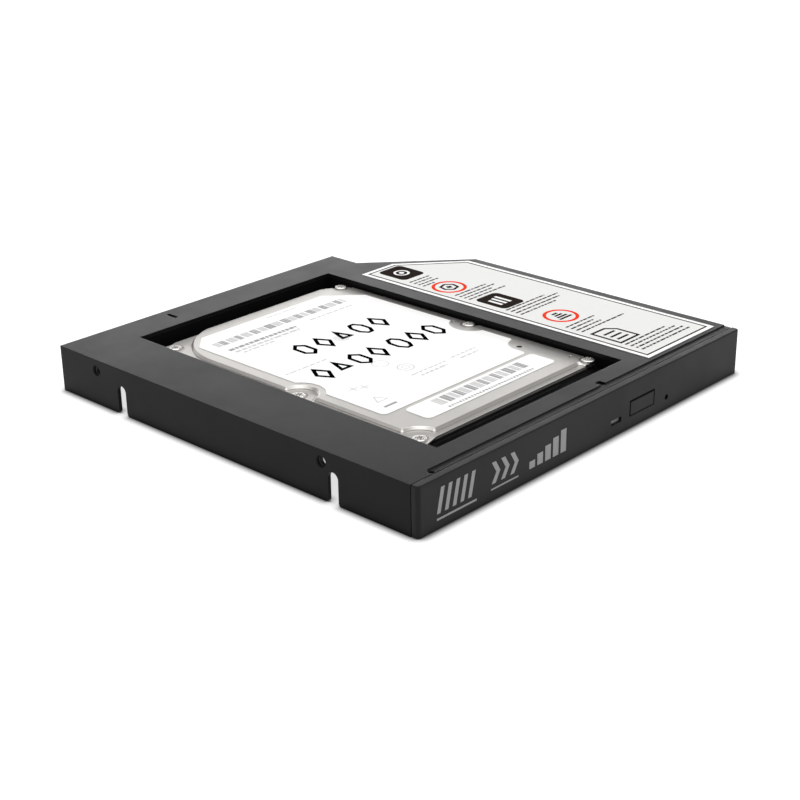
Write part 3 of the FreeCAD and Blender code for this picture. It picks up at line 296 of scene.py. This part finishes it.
def make_edge_mask():
    """Mask of the sharp edges, found where a rounded normal leaves the true one."""
    group, given, result = new_group(
        "edge_mask",
        (("Radius", 0.0003), ("Sharpness", 6.0)),
        (("Mask", "NodeSocketFloat"),))
    link = group.links.new
    rounded = group.nodes.new("ShaderNodeBevel")
    rounded.samples = rounding_samples
    link(given.outputs["Radius"], rounded.inputs["Radius"])
    true = group.nodes.new("ShaderNodeNewGeometry")
    along = group.nodes.new("ShaderNodeVectorMath")
    along.operation = "DOT_PRODUCT"
    link(rounded.outputs["Normal"], along.inputs[0])
    link(true.outputs["Normal"], along.inputs[1])
    away = group.nodes.new("ShaderNodeMath")
    away.operation = "SUBTRACT"
    away.inputs[0].default_value = 1.0
    link(along.outputs["Value"], away.inputs[1])
    strong = group.nodes.new("ShaderNodeMath")
    strong.operation = "MULTIPLY"
    strong.use_clamp = True
    link(away.outputs[0], strong.inputs[0])
    link(given.outputs["Sharpness"], strong.inputs[1])
    link(strong.outputs[0], result.inputs["Mask"])
    return group


grain = make_grain()
patches = make_patches()
edge_mask = make_edge_mask()


# Finishes

# Painted shade on the drive casting: how far it looks for nearby pieces, and the open share over which it
# fades.
casting_shade_reach = 0.004
casting_shade_open = (0.35, 0.75)
ink_thin = 1.12
ink_least = 0.001


def new_finish(name, **settings):
    """Material with a Principled shader, whose plain numbers are set on its own sockets."""
    material = bpy.data.materials.new(name)
    material.use_nodes = True
    tree = material.node_tree
    tree.nodes.clear()
    out = tree.nodes.new("ShaderNodeOutputMaterial")
    shader = tree.nodes.new("ShaderNodeBsdfPrincipled")
    for label, value in settings.items():
        shader.inputs[label.replace("_", " ")].default_value = value
    tree.links.new(shader.outputs["BSDF"], out.inputs["Surface"])
    return material, tree, shader


def place_group(tree, group, **values):
    node = tree.nodes.new("ShaderNodeGroup")
    node.node_tree = group
    for label, value in values.items():
        node.inputs[label.replace("_", " ")].default_value = value
    return node


def mix_colours(tree, mask, first, second):
    """Colour that goes from one to another with a mask. Each is a plain colour or another node's output."""
    mix = tree.nodes.new("ShaderNodeMix")
    mix.data_type = "RGBA"
    tree.links.new(mask, mix.inputs["Factor"])
    for label, colour in (("A", first), ("B", second)):
        if isinstance(colour, tuple):
            mix.inputs[label].default_value = (*colour, 1)
        else:
            tree.links.new(colour, mix.inputs[label])
    return mix.outputs["Result"]


def surface(name, dark, pale, rough, grain_scale, grain_depth, edge_radius, sheen_scale=60.0, **settings):
    """Finish with fine grain, softened edges, uneven sheen and a slight change of colour."""
    material, tree, shader = new_finish(name, **settings)
    skin = place_group(tree, grain, Scale=grain_scale, Depth=grain_depth, Edge_Radius=edge_radius)
    sheen = place_group(tree, patches, Scale=sheen_scale, Low=rough[0], High=rough[1])
    tree.links.new(skin.outputs["Normal"], shader.inputs["Normal"])
    tree.links.new(sheen.outputs["Value"], shader.inputs["Roughness"])
    tree.links.new(mix_colours(tree, skin.outputs["Height"], dark, pale), shader.inputs["Base Color"])
    return material, tree, shader


def plain_colour(shader):
    """Output that gives a shader its colour so far."""
    return shader.inputs["Base Color"].links[0].from_socket


def add_painted_edge_highlight(tree, shader, radius, sharpness, colour):
    """Painted highlight: paler colour along the sharp edges of a finish, standing in for light that they
    catch.
    """
    edges = place_group(tree, edge_mask, Radius=radius, Sharpness=sharpness)
    paler = mix_colours(tree, edges.outputs["Mask"], plain_colour(shader), colour)
    tree.links.new(paler, shader.inputs["Base Color"])


def cover_paint():
    """Satin black paint on sheet, with a painted highlight in a paler grey along its folds and edges."""
    material, tree, shader = surface(
        "cover_paint", dark=(0.0035, 0.0035, 0.0037), pale=(0.0065, 0.0065, 0.0067), rough=(0.34, 0.44),
        grain_scale=3800.0, grain_depth=0.000012, edge_radius=0.00018, Specular_IOR_Level=0.1)
    # Painted highlight: a paler grey along the folds and sharp edges.
    add_painted_edge_highlight(tree, shader, radius=0.00025, sharpness=2.5, colour=(0.045, 0.045, 0.046))
    return material


def frame_plastic():
    return surface(
        "frame_plastic", dark=(0.003, 0.0028, 0.003), pale=(0.005, 0.0048, 0.005), rough=(0.5, 0.64),
        grain_scale=2600.0, grain_depth=0.00001, edge_radius=0.0002, Specular_IOR_Level=0.06)[0]


def bezel_plastic():
    return surface(
        "bezel_plastic", dark=(0.0095, 0.0095, 0.0098), pale=(0.0145, 0.0145, 0.0148), rough=(0.42, 0.52),
        grain_scale=5200.0, grain_depth=0.00001, edge_radius=0.0003, Specular_IOR_Level=0.15)[0]


def clear_plastic():
    return surface(
        "clear_plastic", dark=(0.4, 0.4, 0.405), pale=(0.46, 0.46, 0.465), rough=(0.16, 0.26),
        grain_scale=900.0, grain_depth=0.000003, edge_radius=0.0001, Transmission_Weight=0.45, IOR=1.49)[0]


def board_green():
    """Green solder mask, with paler tracks under it."""
    green, other_green, track_green = (0.01, 0.09, 0.035), (0.013, 0.105, 0.04), (0.03, 0.2, 0.08)
    material, tree, shader = surface(
        "board_green", dark=green, pale=other_green, rough=(0.22, 0.34),
        grain_scale=1500.0, grain_depth=0.000004, edge_radius=0.0001, Coat_Weight=0.35, Coat_Roughness=0.12)
    tracks = tree.nodes.new("ShaderNodeTexBrick")
    tracks.inputs["Scale"].default_value = 160.0
    tracks.inputs["Mortar Size"].default_value = 0.028
    tracks.inputs["Color1"].default_value = (*green, 1)
    tracks.inputs["Color2"].default_value = (*other_green, 1)
    tracks.inputs["Mortar"].default_value = (*track_green, 1)
    place = tree.nodes.new("ShaderNodeTexCoord")
    tree.links.new(place.outputs["Object"], tracks.inputs["Vector"])
    tree.links.new(tracks.outputs["Color"], shader.inputs["Base Color"])
    return material


def screw_steel():
    return surface(
        "screw_steel", dark=(0.74, 0.725, 0.7), pale=(0.82, 0.805, 0.78), rough=(0.16, 0.3),
        grain_scale=2200.0, grain_depth=0.000004, edge_radius=0.00008, sheen_scale=500.0, Metallic=1.0)[0]


def screw_black():
    return surface(
        "screw_black", dark=(0.03, 0.03, 0.031), pale=(0.05, 0.05, 0.05), rough=(0.3, 0.45),
        grain_scale=2500.0, grain_depth=0.000006, edge_radius=0.00008, sheen_scale=400.0, Metallic=0.7)[0]


def ceramic():
    return surface(
        "ceramic", dark=(0.36, 0.24, 0.13), pale=(0.44, 0.3, 0.18), rough=(0.5, 0.62),
        grain_scale=4000.0, grain_depth=0.000008, edge_radius=0.00006)[0]


def chip_black():
    return surface(
        "chip_black", dark=(0.014, 0.014, 0.015), pale=(0.024, 0.024, 0.025), rough=(0.5, 0.65),
        grain_scale=6000.0, grain_depth=0.000012, edge_radius=0.00006, Specular_IOR_Level=0.35)[0]


def connector_black():
    """Black moulding whose sharp edges catch a thin line of light."""
    material, tree, shader = surface(
        "connector_black", dark=(0.0006, 0.0006, 0.0007), pale=(0.0012, 0.0012, 0.0013), rough=(0.4, 0.52),
        grain_scale=3500.0, grain_depth=0.000006, edge_radius=0.00008, Specular_IOR_Level=0.02)
    # Painted highlight: a thin pale grey line along the sharp edges.
    add_painted_edge_highlight(tree, shader, radius=0.00012, sharpness=2.0, colour=(0.1, 0.1, 0.102))
    return material


def contact_gold():
    return surface(
        "contact_gold", dark=(0.8, 0.56, 0.2), pale=(0.88, 0.64, 0.27), rough=(0.2, 0.32),
        grain_scale=2500.0, grain_depth=0.000003, edge_radius=0.00004, sheen_scale=700.0, Metallic=1.0)[0]


def label_paper():
    return surface(
        "label_paper", dark=(0.89, 0.89, 0.88), pale=(0.92, 0.92, 0.91), rough=(0.34, 0.46),
        grain_scale=1800.0, grain_depth=0.000004, edge_radius=0.00005, Specular_IOR_Level=0.3)[0]


def drive_casting():
    """Cast metal with a fine, uneven skin, and painted shade that darkens it where it lies deep between other
    pieces.
    """
    material, tree, shader = surface(
        "drive_casting", dark=(0.46, 0.455, 0.44), pale=(0.56, 0.55, 0.53), rough=(0.42, 0.6),
        grain_scale=1400.0, grain_depth=0.00003, edge_radius=0.0002, Metallic=0.9)
    # Painted shade: near-black colour where the casting is closed in by other pieces.
    open_sky = tree.nodes.new("ShaderNodeAmbientOcclusion")
    open_sky.inputs["Distance"].default_value = casting_shade_reach
    clear = tree.nodes.new("ShaderNodeMapRange")
    clear.inputs["From Min"].default_value = casting_shade_open[0]
    clear.inputs["From Max"].default_value = casting_shade_open[1]
    tree.links.new(open_sky.outputs["AO"], clear.inputs["Value"])
    shaded_colour = mix_colours(tree, clear.outputs["Result"], (0.03, 0.03, 0.029), plain_colour(shader))
    tree.links.new(shaded_colour, shader.inputs["Base Color"])
    return material


def drive_lid():
    """Pressed sheet metal with a fine satin skin, and a painted highlight in near-white along its pressed
    edges.
    """
    material, tree, shader = surface(
        "drive_lid", dark=(0.53, 0.513, 0.49), pale=(0.58, 0.562, 0.54), rough=(0.28, 0.36),
        grain_scale=4200.0, grain_depth=0.000006, edge_radius=0.00012, Metallic=1.0)
    # Painted highlight: near-white along the pressed edges.
    add_painted_edge_highlight(tree, shader, radius=0.00022, sharpness=4.0, colour=(0.95, 0.93, 0.9))
    return material


def filter_felt():
    return surface(
        "filter_felt", dark=(0.003, 0.003, 0.003), pale=(0.009, 0.009, 0.009), rough=(0.8, 0.95),
        grain_scale=3000.0, grain_depth=0.0001, edge_radius=0.00005, Specular_IOR_Level=0.1)[0]


finishes = {make.__name__: make() for make in (
    cover_paint, frame_plastic, bezel_plastic, clear_plastic, board_green, screw_steel,
    screw_black, ceramic, chip_black, connector_black, contact_gold, label_paper,
    drive_casting, drive_lid, filter_felt)}


def print_ink(name, colour, rough=(0.4, 0.5)):
    """Thin matt print, slightly uneven as it lies on its ground."""
    paler = tuple(part * ink_thin + ink_least for part in colour)
    return surface(
        name, dark=colour, pale=paler, rough=rough,
        grain_scale=2600.0, grain_depth=0.000003, edge_radius=0.00002, Specular_IOR_Level=0.0)[0]


dark_ink = print_ink("dark_ink", (0.022, 0.017, 0.015))
black_ink = print_ink("black_ink", (0.0004, 0.0004, 0.0004))
brown_ink = print_ink("brown_ink", (0.03, 0.018, 0.014))
tint_ink = print_ink("tint_ink", (0.74, 0.74, 0.725))
red_ink = print_ink("red_ink", (0.76, 0.05, 0.018), (0.38, 0.48))
white_ink = print_ink("white_ink", (0.85, 0.85, 0.84), (0.38, 0.48))
grey_ink = print_ink("grey_ink", (0.34, 0.34, 0.335))
pale_ink = print_ink("pale_ink", (0.58, 0.58, 0.575))
faint_ink = print_ink("faint_ink", (0.74, 0.74, 0.735))
bezel_ink = print_ink("bezel_ink", (0.42, 0.42, 0.42), (0.42, 0.52))


def dress_nodes():
    """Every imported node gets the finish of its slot."""
    for subpart in frame["record"]["subparts"]:
        node = nodes[subpart["node"]]
        finish = finishes[subpart["material_slot"]]
        if not node.material_slots:
            node.data.materials.append(finish)
        for slot in node.material_slots:
            slot.material = finish


# Shapes

corner_segments = 6
ring_steps = 48
word_length = (0.9, 2.6)
word_gap = 0.45
bar_width = (0.4, 1.0)
bar_gap = (0.1, 0.22)
group_width = (1.5, 2.6)
group_gap = (0.3, 0.8)
group_least = 0.6


def put(bm, name, finish, body="caddy"):
    """Object from a finished bmesh, riding on its body."""
    bmesh.ops.recalc_face_normals(bm, faces=bm.faces)
    mesh = bpy.data.meshes.new(name)
    bm.to_mesh(mesh)
    bm.free()
    mesh.materials.append(finish)
    piece = bpy.data.objects.new(name, mesh)
    bpy.context.scene.collection.objects.link(piece)
    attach(piece, body)


def add_block(bm, x, y, z):
    """Block between limits on the drawing."""
    made = bmesh.ops.create_cube(bm, size=1.0)["verts"]
    low = at(x[0], y[0], z[0])
    high = at(x[1], y[1], z[1])
    bmesh.ops.scale(bm, vec=high - low, verts=made)
    bmesh.ops.translate(bm, vec=(low + high) / 2, verts=made)
    return made


def thicken(bm, faces, rise):
    """Flat faces pulled out into a thin solid."""
    grown = bmesh.ops.extrude_face_region(bm, geom=faces)["geom"]
    moved = [part for part in grown if isinstance(part, bmesh.types.BMVert)]
    bmesh.ops.translate(bm, vec=Vector(rise) * mm, verts=moved)


def inset_face(bm, face, distance):
    """Draws a face in by an even distance and gives the band that it leaves."""
    face.normal_update()
    return bmesh.ops.inset_region(
        bm, faces=[face], thickness=distance * mm, use_boundary=True, use_even_offset=True)["faces"]


def outline_face(bm, outline, level, inset):
    """Flat face on a closed outline, or drawn in from it."""
    face = bm.faces.new([bm.verts.new(at(x, y, level)) for x, y in outline])
    if inset:
        bmesh.ops.delete(bm, geom=inset_face(bm, face, inset), context="FACES")
    return face


def add_plate(bm, outline, z, inset=0.0):
    """Thin plate on a closed outline, or drawn in from it."""
    thicken(bm, [outline_face(bm, outline, z[0], inset)], (0, 0, z[1] - z[0]))


def add_border(bm, outline, line, z, inset=0.0):
    """Closed line of even width inside an outline."""
    face = outline_face(bm, outline, z[0], inset)
    band = inset_face(bm, face, line)
    bmesh.ops.delete(bm, geom=[face], context="FACES")
    thicken(bm, band, (0, 0, z[1] - z[0]))


def add_ring(bm, x, y, radius, line, z):
    """Flat ring: a small section spun round its middle."""
    inner, outer = radius - line / 2, radius + line / 2
    section = [(inner, z[0]), (outer, z[0]), (outer, z[1]), (inner, z[1])]
    verts = [bm.verts.new(at(x + reach, y, level)) for reach, level in section]
    edges = [bm.edges.new((verts[i], verts[(i + 1) % len(verts)])) for i in range(len(verts))]
    bmesh.ops.spin(
        bm, geom=verts + edges, cent=at(x, y, 0), axis=(0, 0, 1), angle=math.tau,
        steps=ring_steps, use_merge=True)


def add_tile(bm, x, y, radius, z):
    """Thin plate with rounded corners."""
    verts = add_block(bm, x, y, z)
    upright = [
        edge for vert in verts for edge in vert.link_edges
        if abs(edge.verts[0].co.z - edge.verts[1].co.z) > (z[1] - z[0]) * mm / 2]
    bmesh.ops.bevel(
        bm, geom=list(dict.fromkeys(upright)), offset=radius * mm, offset_type="OFFSET",
        segments=corner_segments, profile=0.5, affect="EDGES", material=-1)


def polygon(x, y, radius, sides, turn=0.0, squeeze=1.0):
    """Corners of an even polygon."""
    corners = []
    for i in range(sides):
        angle = math.radians(turn) + math.tau * i / sides
        corners.append((x + radius * math.cos(angle), y + radius * squeeze * math.sin(angle)))
    return corners


def add_words(bm, x, y, tall, z, word=word_length, gap=word_gap):
    """Row of short dashes that stands for a line of fine print."""
    start = x[0]
    while start < x[1]:
        end = min(start + spread.uniform(*word), x[1])
        add_block(bm, (start, end), (y - tall / 2, y + tall / 2), z)
        start = end + gap


def add_bars(bm, x, y, z):
    """Close bars of uneven width."""
    start = x[0]
    while start < x[1]:
        end = min(start + spread.uniform(*bar_width), x[1])
        add_block(bm, (start, end), y, z)
        start = end + spread.uniform(*bar_gap)


def add_bar_groups(dark, pale, x, y, z):
    """Row of close bars in groups, turn by turn pale and dark."""
    start = x[0]
    turn = 0
    while start < x[1] - group_least:
        end = min(start + spread.uniform(*group_width), x[1])
        add_bars((pale, dark)[turn % 2], (start, end), y, z)
        start = end + spread.uniform(*group_gap)
        turn += 1


# Print on the top sticker

ink_thick = 0.02
sticker_low, sticker_high = limits("top_label")
sticker_slant_y = 92.9
sticker_slant_x = 107.6
sticker_z = (sticker_high.z, sticker_high.z + ink_thick)
sticker_second_z = (sticker_z[1], sticker_z[1] + ink_thick)
sticker_outline = [
    (sticker_low.x, sticker_low.y),
    (sticker_high.x, sticker_low.y),
    (sticker_high.x, sticker_slant_y),
    (sticker_slant_x, sticker_high.y),
    (sticker_low.x, sticker_high.y),
]
sticker_margin = 1.25
sticker_line = 0.55

tile_places = (((98.4, 107.9), (95.0, 105.9)), ((98.6, 107.9), (57.0, 68.3)))
tile_corner = 1.7
tile_ring_radius = 2.1
tile_ring_line = 0.7
tile_hexagon = 0.9
tile_bars = 3
tile_bar_width = 1.0
tile_bar_step = 1.9
tile_bar_left = 2.0
tile_bar_foot = 3.0
tile_bar_top = 3.4
tile_bar_rise = 0.5

ring_places = ((102.8, 81.3, 4.65), (104.6, 42.1, 4.55))
ring_line = 1.0
sign_line = 0.8
sign_hexagon = 3.0
sign_hexagon_turn = 15.0
sign_diamond = 1.1
sign_diamond_turn = 20.0
sign_bars = 4
sign_bar_half = 2.6
sign_bar_taper = 0.5
sign_bar_foot = 2.1
sign_bar_step = 1.3
sheet_outline = ((98.1, 17.2), (106.9, 17.3), (106.8, 24.7), (104.4, 27.5), (98.2, 27.6))
sheet_bars = 3
sheet_bar_x = (100.0, 104.8)
sheet_bar_foot = 19.4
sheet_bar_step = 2.2

text_left = 98.2
text_height = 0.62
text_gap = 0.34
text_step = 1.75
text_blocks = (
    (92.6, (8.4, 7.6, 8.8, 5.0)),
    (75.0, (13.5, 15.2, 12.1, 16.0)),
    (56.2, (17.0, 21.0, 19.4, 15.6)),
    (35.4, (12.5, 9.8, 11.0, 19.0)),
    (16.0, (18.0, 20.4, 21.5, 22.0)),
)


def sticker_ground():
    """Tinted panel, with a brown line round it and the white paper as a margin."""
    panel = bmesh.new()
    add_plate(panel, sticker_outline, (sticker_z[0], sticker_z[0] + ink_thick / 2), sticker_margin)
    put(panel, "sticker_panel", tint_ink)
    border = bmesh.new()
    add_border(border, sticker_outline, sticker_line, sticker_z, sticker_margin)
    put(border, "sticker_border", brown_ink)


def sticker_tiles():
    """Two dark tiles, one with a ring and a hexagon and one with three bars."""
    tiles = bmesh.new()
    for x, y in tile_places:
        add_tile(tiles, x, y, tile_corner, sticker_z)
    put(tiles, "sticker_tiles", dark_ink)

    marks = bmesh.new()
    (x, y), (x2, y2) = tile_places
    middle = ((x[0] + x[1]) / 2, (y[0] + y[1]) / 2)
    add_ring(marks, *middle, tile_ring_radius, tile_ring_line, sticker_second_z)
    add_plate(marks, polygon(*middle, tile_hexagon, 6), sticker_second_z)
    for i in range(tile_bars):
        left = x2[0] + tile_bar_left + i * tile_bar_step
        span = (y2[0] + tile_bar_foot, y2[1] - tile_bar_top + i * tile_bar_rise)
        add_block(marks, (left, left + tile_bar_width), span, sticker_second_z)
    put(marks, "sticker_tile_marks", white_ink)


def sticker_signs():
    """Two red rings round plain figures, and the outline of a sheet with bars."""
    rings = bmesh.new()
    for x, y, radius in ring_places:
        add_ring(rings, x, y, radius, ring_line, sticker_z)
    put(rings, "sticker_rings", red_ink)

    signs = bmesh.new()
    (x, y, _), (x2, y2, _) = ring_places
    add_border(signs, polygon(x, y, sign_hexagon, 6, sign_hexagon_turn), sign_line, sticker_z)
    add_plate(signs, polygon(x, y, sign_diamond, 4, sign_diamond_turn), sticker_z)
    for i in range(sign_bars):
        half = sign_bar_half - sign_bar_taper * i
        level = y2 - sign_bar_foot + i * sign_bar_step
        add_block(signs, (x2 - half, x2 + half), (level, level + sign_line), sticker_z)
    add_border(signs, sheet_outline, sign_line, sticker_z)
    for i in range(sheet_bars):
        level = sheet_bar_foot + i * sheet_bar_step
        add_block(signs, sheet_bar_x, (level, level + sign_line), sticker_z)
    put(signs, "sticker_signs", dark_ink)


def sticker_text():
    """Blocks of four rows of dashes, in place of fine print."""
    rows = bmesh.new()
    for first, lengths in text_blocks:
        for i, length in enumerate(lengths):
            level = first - i * text_step
            add_words(rows, (text_left, text_left + length), level, text_height, sticker_z, gap=text_gap)
    put(rows, "sticker_print_rows", dark_ink)


# Print on the drive's two labels

label_high = limits("drive_label")[1]
label_z = (label_high.z, label_high.z + ink_thick)

symbol_line = 1.05
symbol_half_width = 2.7
symbol_squeeze = 1.7
symbol_rows = (
    (80.0, (43.6, 50.6, 57.6, 64.6, 71.6), (6, 4, 3, 8, 4)),
    (64.4, (34.8, 41.6, 48.4, 55.2, 63.4, 70.2, 77.0), (4, 3, 6, 4, 8, 4, 6)),
)
symbol_turns = {3: 90.0, 4: 0.0, 6: 90.0, 8: 22.5}

bar_field = ((29.6, 78.0), (98.3, 101.5))
grey_dash = ((29.5, 33.8), (37.4, 38.2))
bold_row = ((29.8, 54.0), 94.5, 1.25)
bold_word = (0.7, 1.8)
bold_gap = 0.4
pale_rows = (
    ((30.2, 53.4), 92.4, 1.0),
    ((31.5, 43.0), 90.7, 0.7),
    ((60.2, 76.6), 95.2, 0.6),
    ((53.3, 64.8), 105.6, 0.4),
    ((27.9, 42.8), 70.8, 0.5),
    ((48.8, 62.0), 46.6, 0.5),
    ((50.5, 60.3), 44.7, 0.7),
    ((64.5, 74.1), 47.1, 0.5),
    ((66.0, 73.0), 45.1, 0.6),
)
pale_rings = ((49.2, 58.0, 2.2, 0.22), (51.9, 51.5, 2.2, 0.3), (51.9, 51.5, 1.0, 0.2))
triangle_place = (32.2, 42.0)
triangle_radius = 2.3
triangle_line = 0.25
plus_places = ((32.6, 51.4), (35.4, 50.2))
plus_half_width = 1.5
plus_half_height = 1.3
plus_half_bar = 0.12
plus_half_post = 0.15
disc_place = (55.8, 78.7)
disc_radius = 2.3
disc_sides = 32

small_bar_field = ((39.6, 73.4), (28.2, 32.1))
digit_row = ((40.0, 72.5), 26.3, 0.75)
digit_word = (0.4, 0.8)


def label_symbols():
    """Two rows of plain outlines, in place of the large lettering."""
    symbols = bmesh.new()
    for y, places, sides in symbol_rows:
        for x, count in zip(places, sides):
            outline = polygon(x, y, symbol_half_width, count, symbol_turns[count], symbol_squeeze)
            add_border(symbols, outline, symbol_line, label_z)
    put(symbols, "label_symbols", black_ink)


def add_plus(bm, x, y):
    """Thin plus mark: a bar with a post above it and one below."""
    post = (x - plus_half_post, x + plus_half_post)
    add_block(bm, (x - plus_half_width, x + plus_half_width), (y - plus_half_bar, y + plus_half_bar), label_z)
    add_block(bm, post, (y + plus_half_bar, y + plus_half_height), label_z)
    add_block(bm, post, (y - plus_half_height, y - plus_half_bar), label_z)


def label_print():
    """Bars, rows and faint marks of the large label."""
    bars = bmesh.new()
    pale_bars = bmesh.new()
    add_bar_groups(bars, pale_bars, *bar_field, label_z)
    add_block(bars, *grey_dash, label_z)
    put(bars, "label_bars", grey_ink)
    put(pale_bars, "label_pale_bars", pale_ink)

    bold = bmesh.new()
    add_words(bold, *bold_row, label_z, bold_word, bold_gap)
    put(bold, "label_bold_row", grey_ink)

    rows = bmesh.new()
    for row in pale_rows:
        add_words(rows, *row, label_z)
    for ring in pale_rings:
        add_ring(rows, *ring, label_z)
    add_border(rows, polygon(*triangle_place, triangle_radius, 3, 90), triangle_line, label_z)
    for place in plus_places:
        add_plus(rows, *place)
    put(rows, "label_rows", pale_ink)

    disc = bmesh.new()
    add_plate(disc, polygon(*disc_place, disc_radius, disc_sides), label_z)
    put(disc, "label_faint_disc", faint_ink)


def small_label_print():
    """Bars of the small label, over a row of dashes."""
    small = bmesh.new()
    pale = bmesh.new()
    add_bar_groups(small, pale, *small_bar_field, label_z)
    put(small, "small_label_bars", grey_ink)
    put(pale, "small_label_pale_bars", pale_ink)
    digits = bmesh.new()
    add_words(digits, *digit_row, label_z, digit_word)
    put(digits, "small_label_row", grey_ink)


# Print on the bezel

bezel_low = limits("front_bezel")[0]
bezel_y = (bezel_low.y - ink_thick, bezel_low.y)

mark_steps = 5
slant_left = 6.0
slant_step = 2.6
slant_width = 1.2
slant_z = (4.0, 10.2)
slant_lean = 1.4
slant_line = ((6.0, 19.4), (2.4, 2.9))

chevrons = 3
chevron_left = 24.6
chevron_step = 3.3
chevron_width = 1.4
chevron_point = 3.0
chevron_notch = 1.6
chevron_z = (4.4, 9.8)
chevron_line = ((24.4, 34.2), (2.9, 3.3))

stair_left = 38.2
stair_step = 2.95
stair_width = 2.1
stair_foot = 3.3
stair_first = 5.2


def add_slanted_bar(bm, left):
    """Upright bar whose upper end leans to the right."""
    foot, top = slant_z
    for vert in add_block(bm, (left, left + slant_width), bezel_y, slant_z):
        if vert.co.z > at(0, 0, (foot + top) / 2).z:
            vert.co.x += slant_lean * mm


def add_chevron(bm, left):
    """Bent bar that points to the right."""
    foot, top = chevron_z
    middle = (foot + top) / 2
    outline = [
        (left, foot), (left + chevron_width, foot), (left + chevron_point, middle),
        (left + chevron_width, top), (left, top), (left + chevron_notch, middle)]
    face = bm.faces.new([bm.verts.new(at(x, bezel_y[1], z)) for x, z in outline])
    thicken(bm, [face], (0, bezel_y[0] - bezel_y[1], 0))


def add_bezel_line(bm, line):
    """Level line under a group of marks."""
    x, z = line
    add_block(bm, x, bezel_y, z)


def bezel_print():
    """Plain marks: a row of slanted bars, three chevrons and a stair of blocks."""
    marks = bmesh.new()
    for i in range(mark_steps):
        add_slanted_bar(marks, slant_left + i * slant_step)
    add_bezel_line(marks, slant_line)
    for i in range(chevrons):
        add_chevron(marks, chevron_left + i * chevron_step)
    add_bezel_line(marks, chevron_line)
    for i in range(mark_steps):
        left = stair_left + i * stair_step
        add_block(marks, (left, left + stair_width), bezel_y, (stair_foot, stair_first + i))
    put(marks, "bezel_marks", bezel_ink)


# Threads in the tapped holes of the left wall

thread_places = (29.7, 112.7)
thread_height = 9.6
thread_radius = 1.25
thread_tooth = 0.16
thread_pitch = 0.45
thread_foot = 0.7 * thread_pitch
thread_crest = 0.35 * thread_pitch
thread_start = 0.35
thread_turns = 3
thread_steps = 32


def side_threads():
    """Dark metal ridges wound inside the two bores."""
    threads = bmesh.new()
    for y in thread_places:
        section = [
            (thread_start, thread_radius), (thread_start + thread_foot, thread_radius),
            (thread_start + thread_crest, thread_radius - thread_tooth)]
        verts = [threads.verts.new(at(x, y, thread_height + reach)) for x, reach in section]
        edges = [threads.edges.new((verts[i], verts[(i + 1) % len(verts)])) for i in range(len(verts))]
        bmesh.ops.spin(
            threads, geom=verts + edges, cent=at(0, y, thread_height), axis=(1, 0, 0),
            dvec=Vector((thread_pitch * mm / thread_steps, 0, 0)), angle=math.tau * thread_turns,
            steps=thread_steps * thread_turns)
    bmesh.ops.holes_fill(threads, edges=threads.edges, sides=len(section))
    put(threads, "side_threads", finishes["screw_black"])


make_camera()
make_room()
make_floor()
add_light("roof_light", **roof_light)
add_light("front_light", **front_light)
add_light("rear_light", **rear_light)
dress_nodes()
sticker_ground()
sticker_tiles()
sticker_signs()
sticker_text()
label_symbols()
label_print()
small_label_print()
bezel_print()
side_threads()
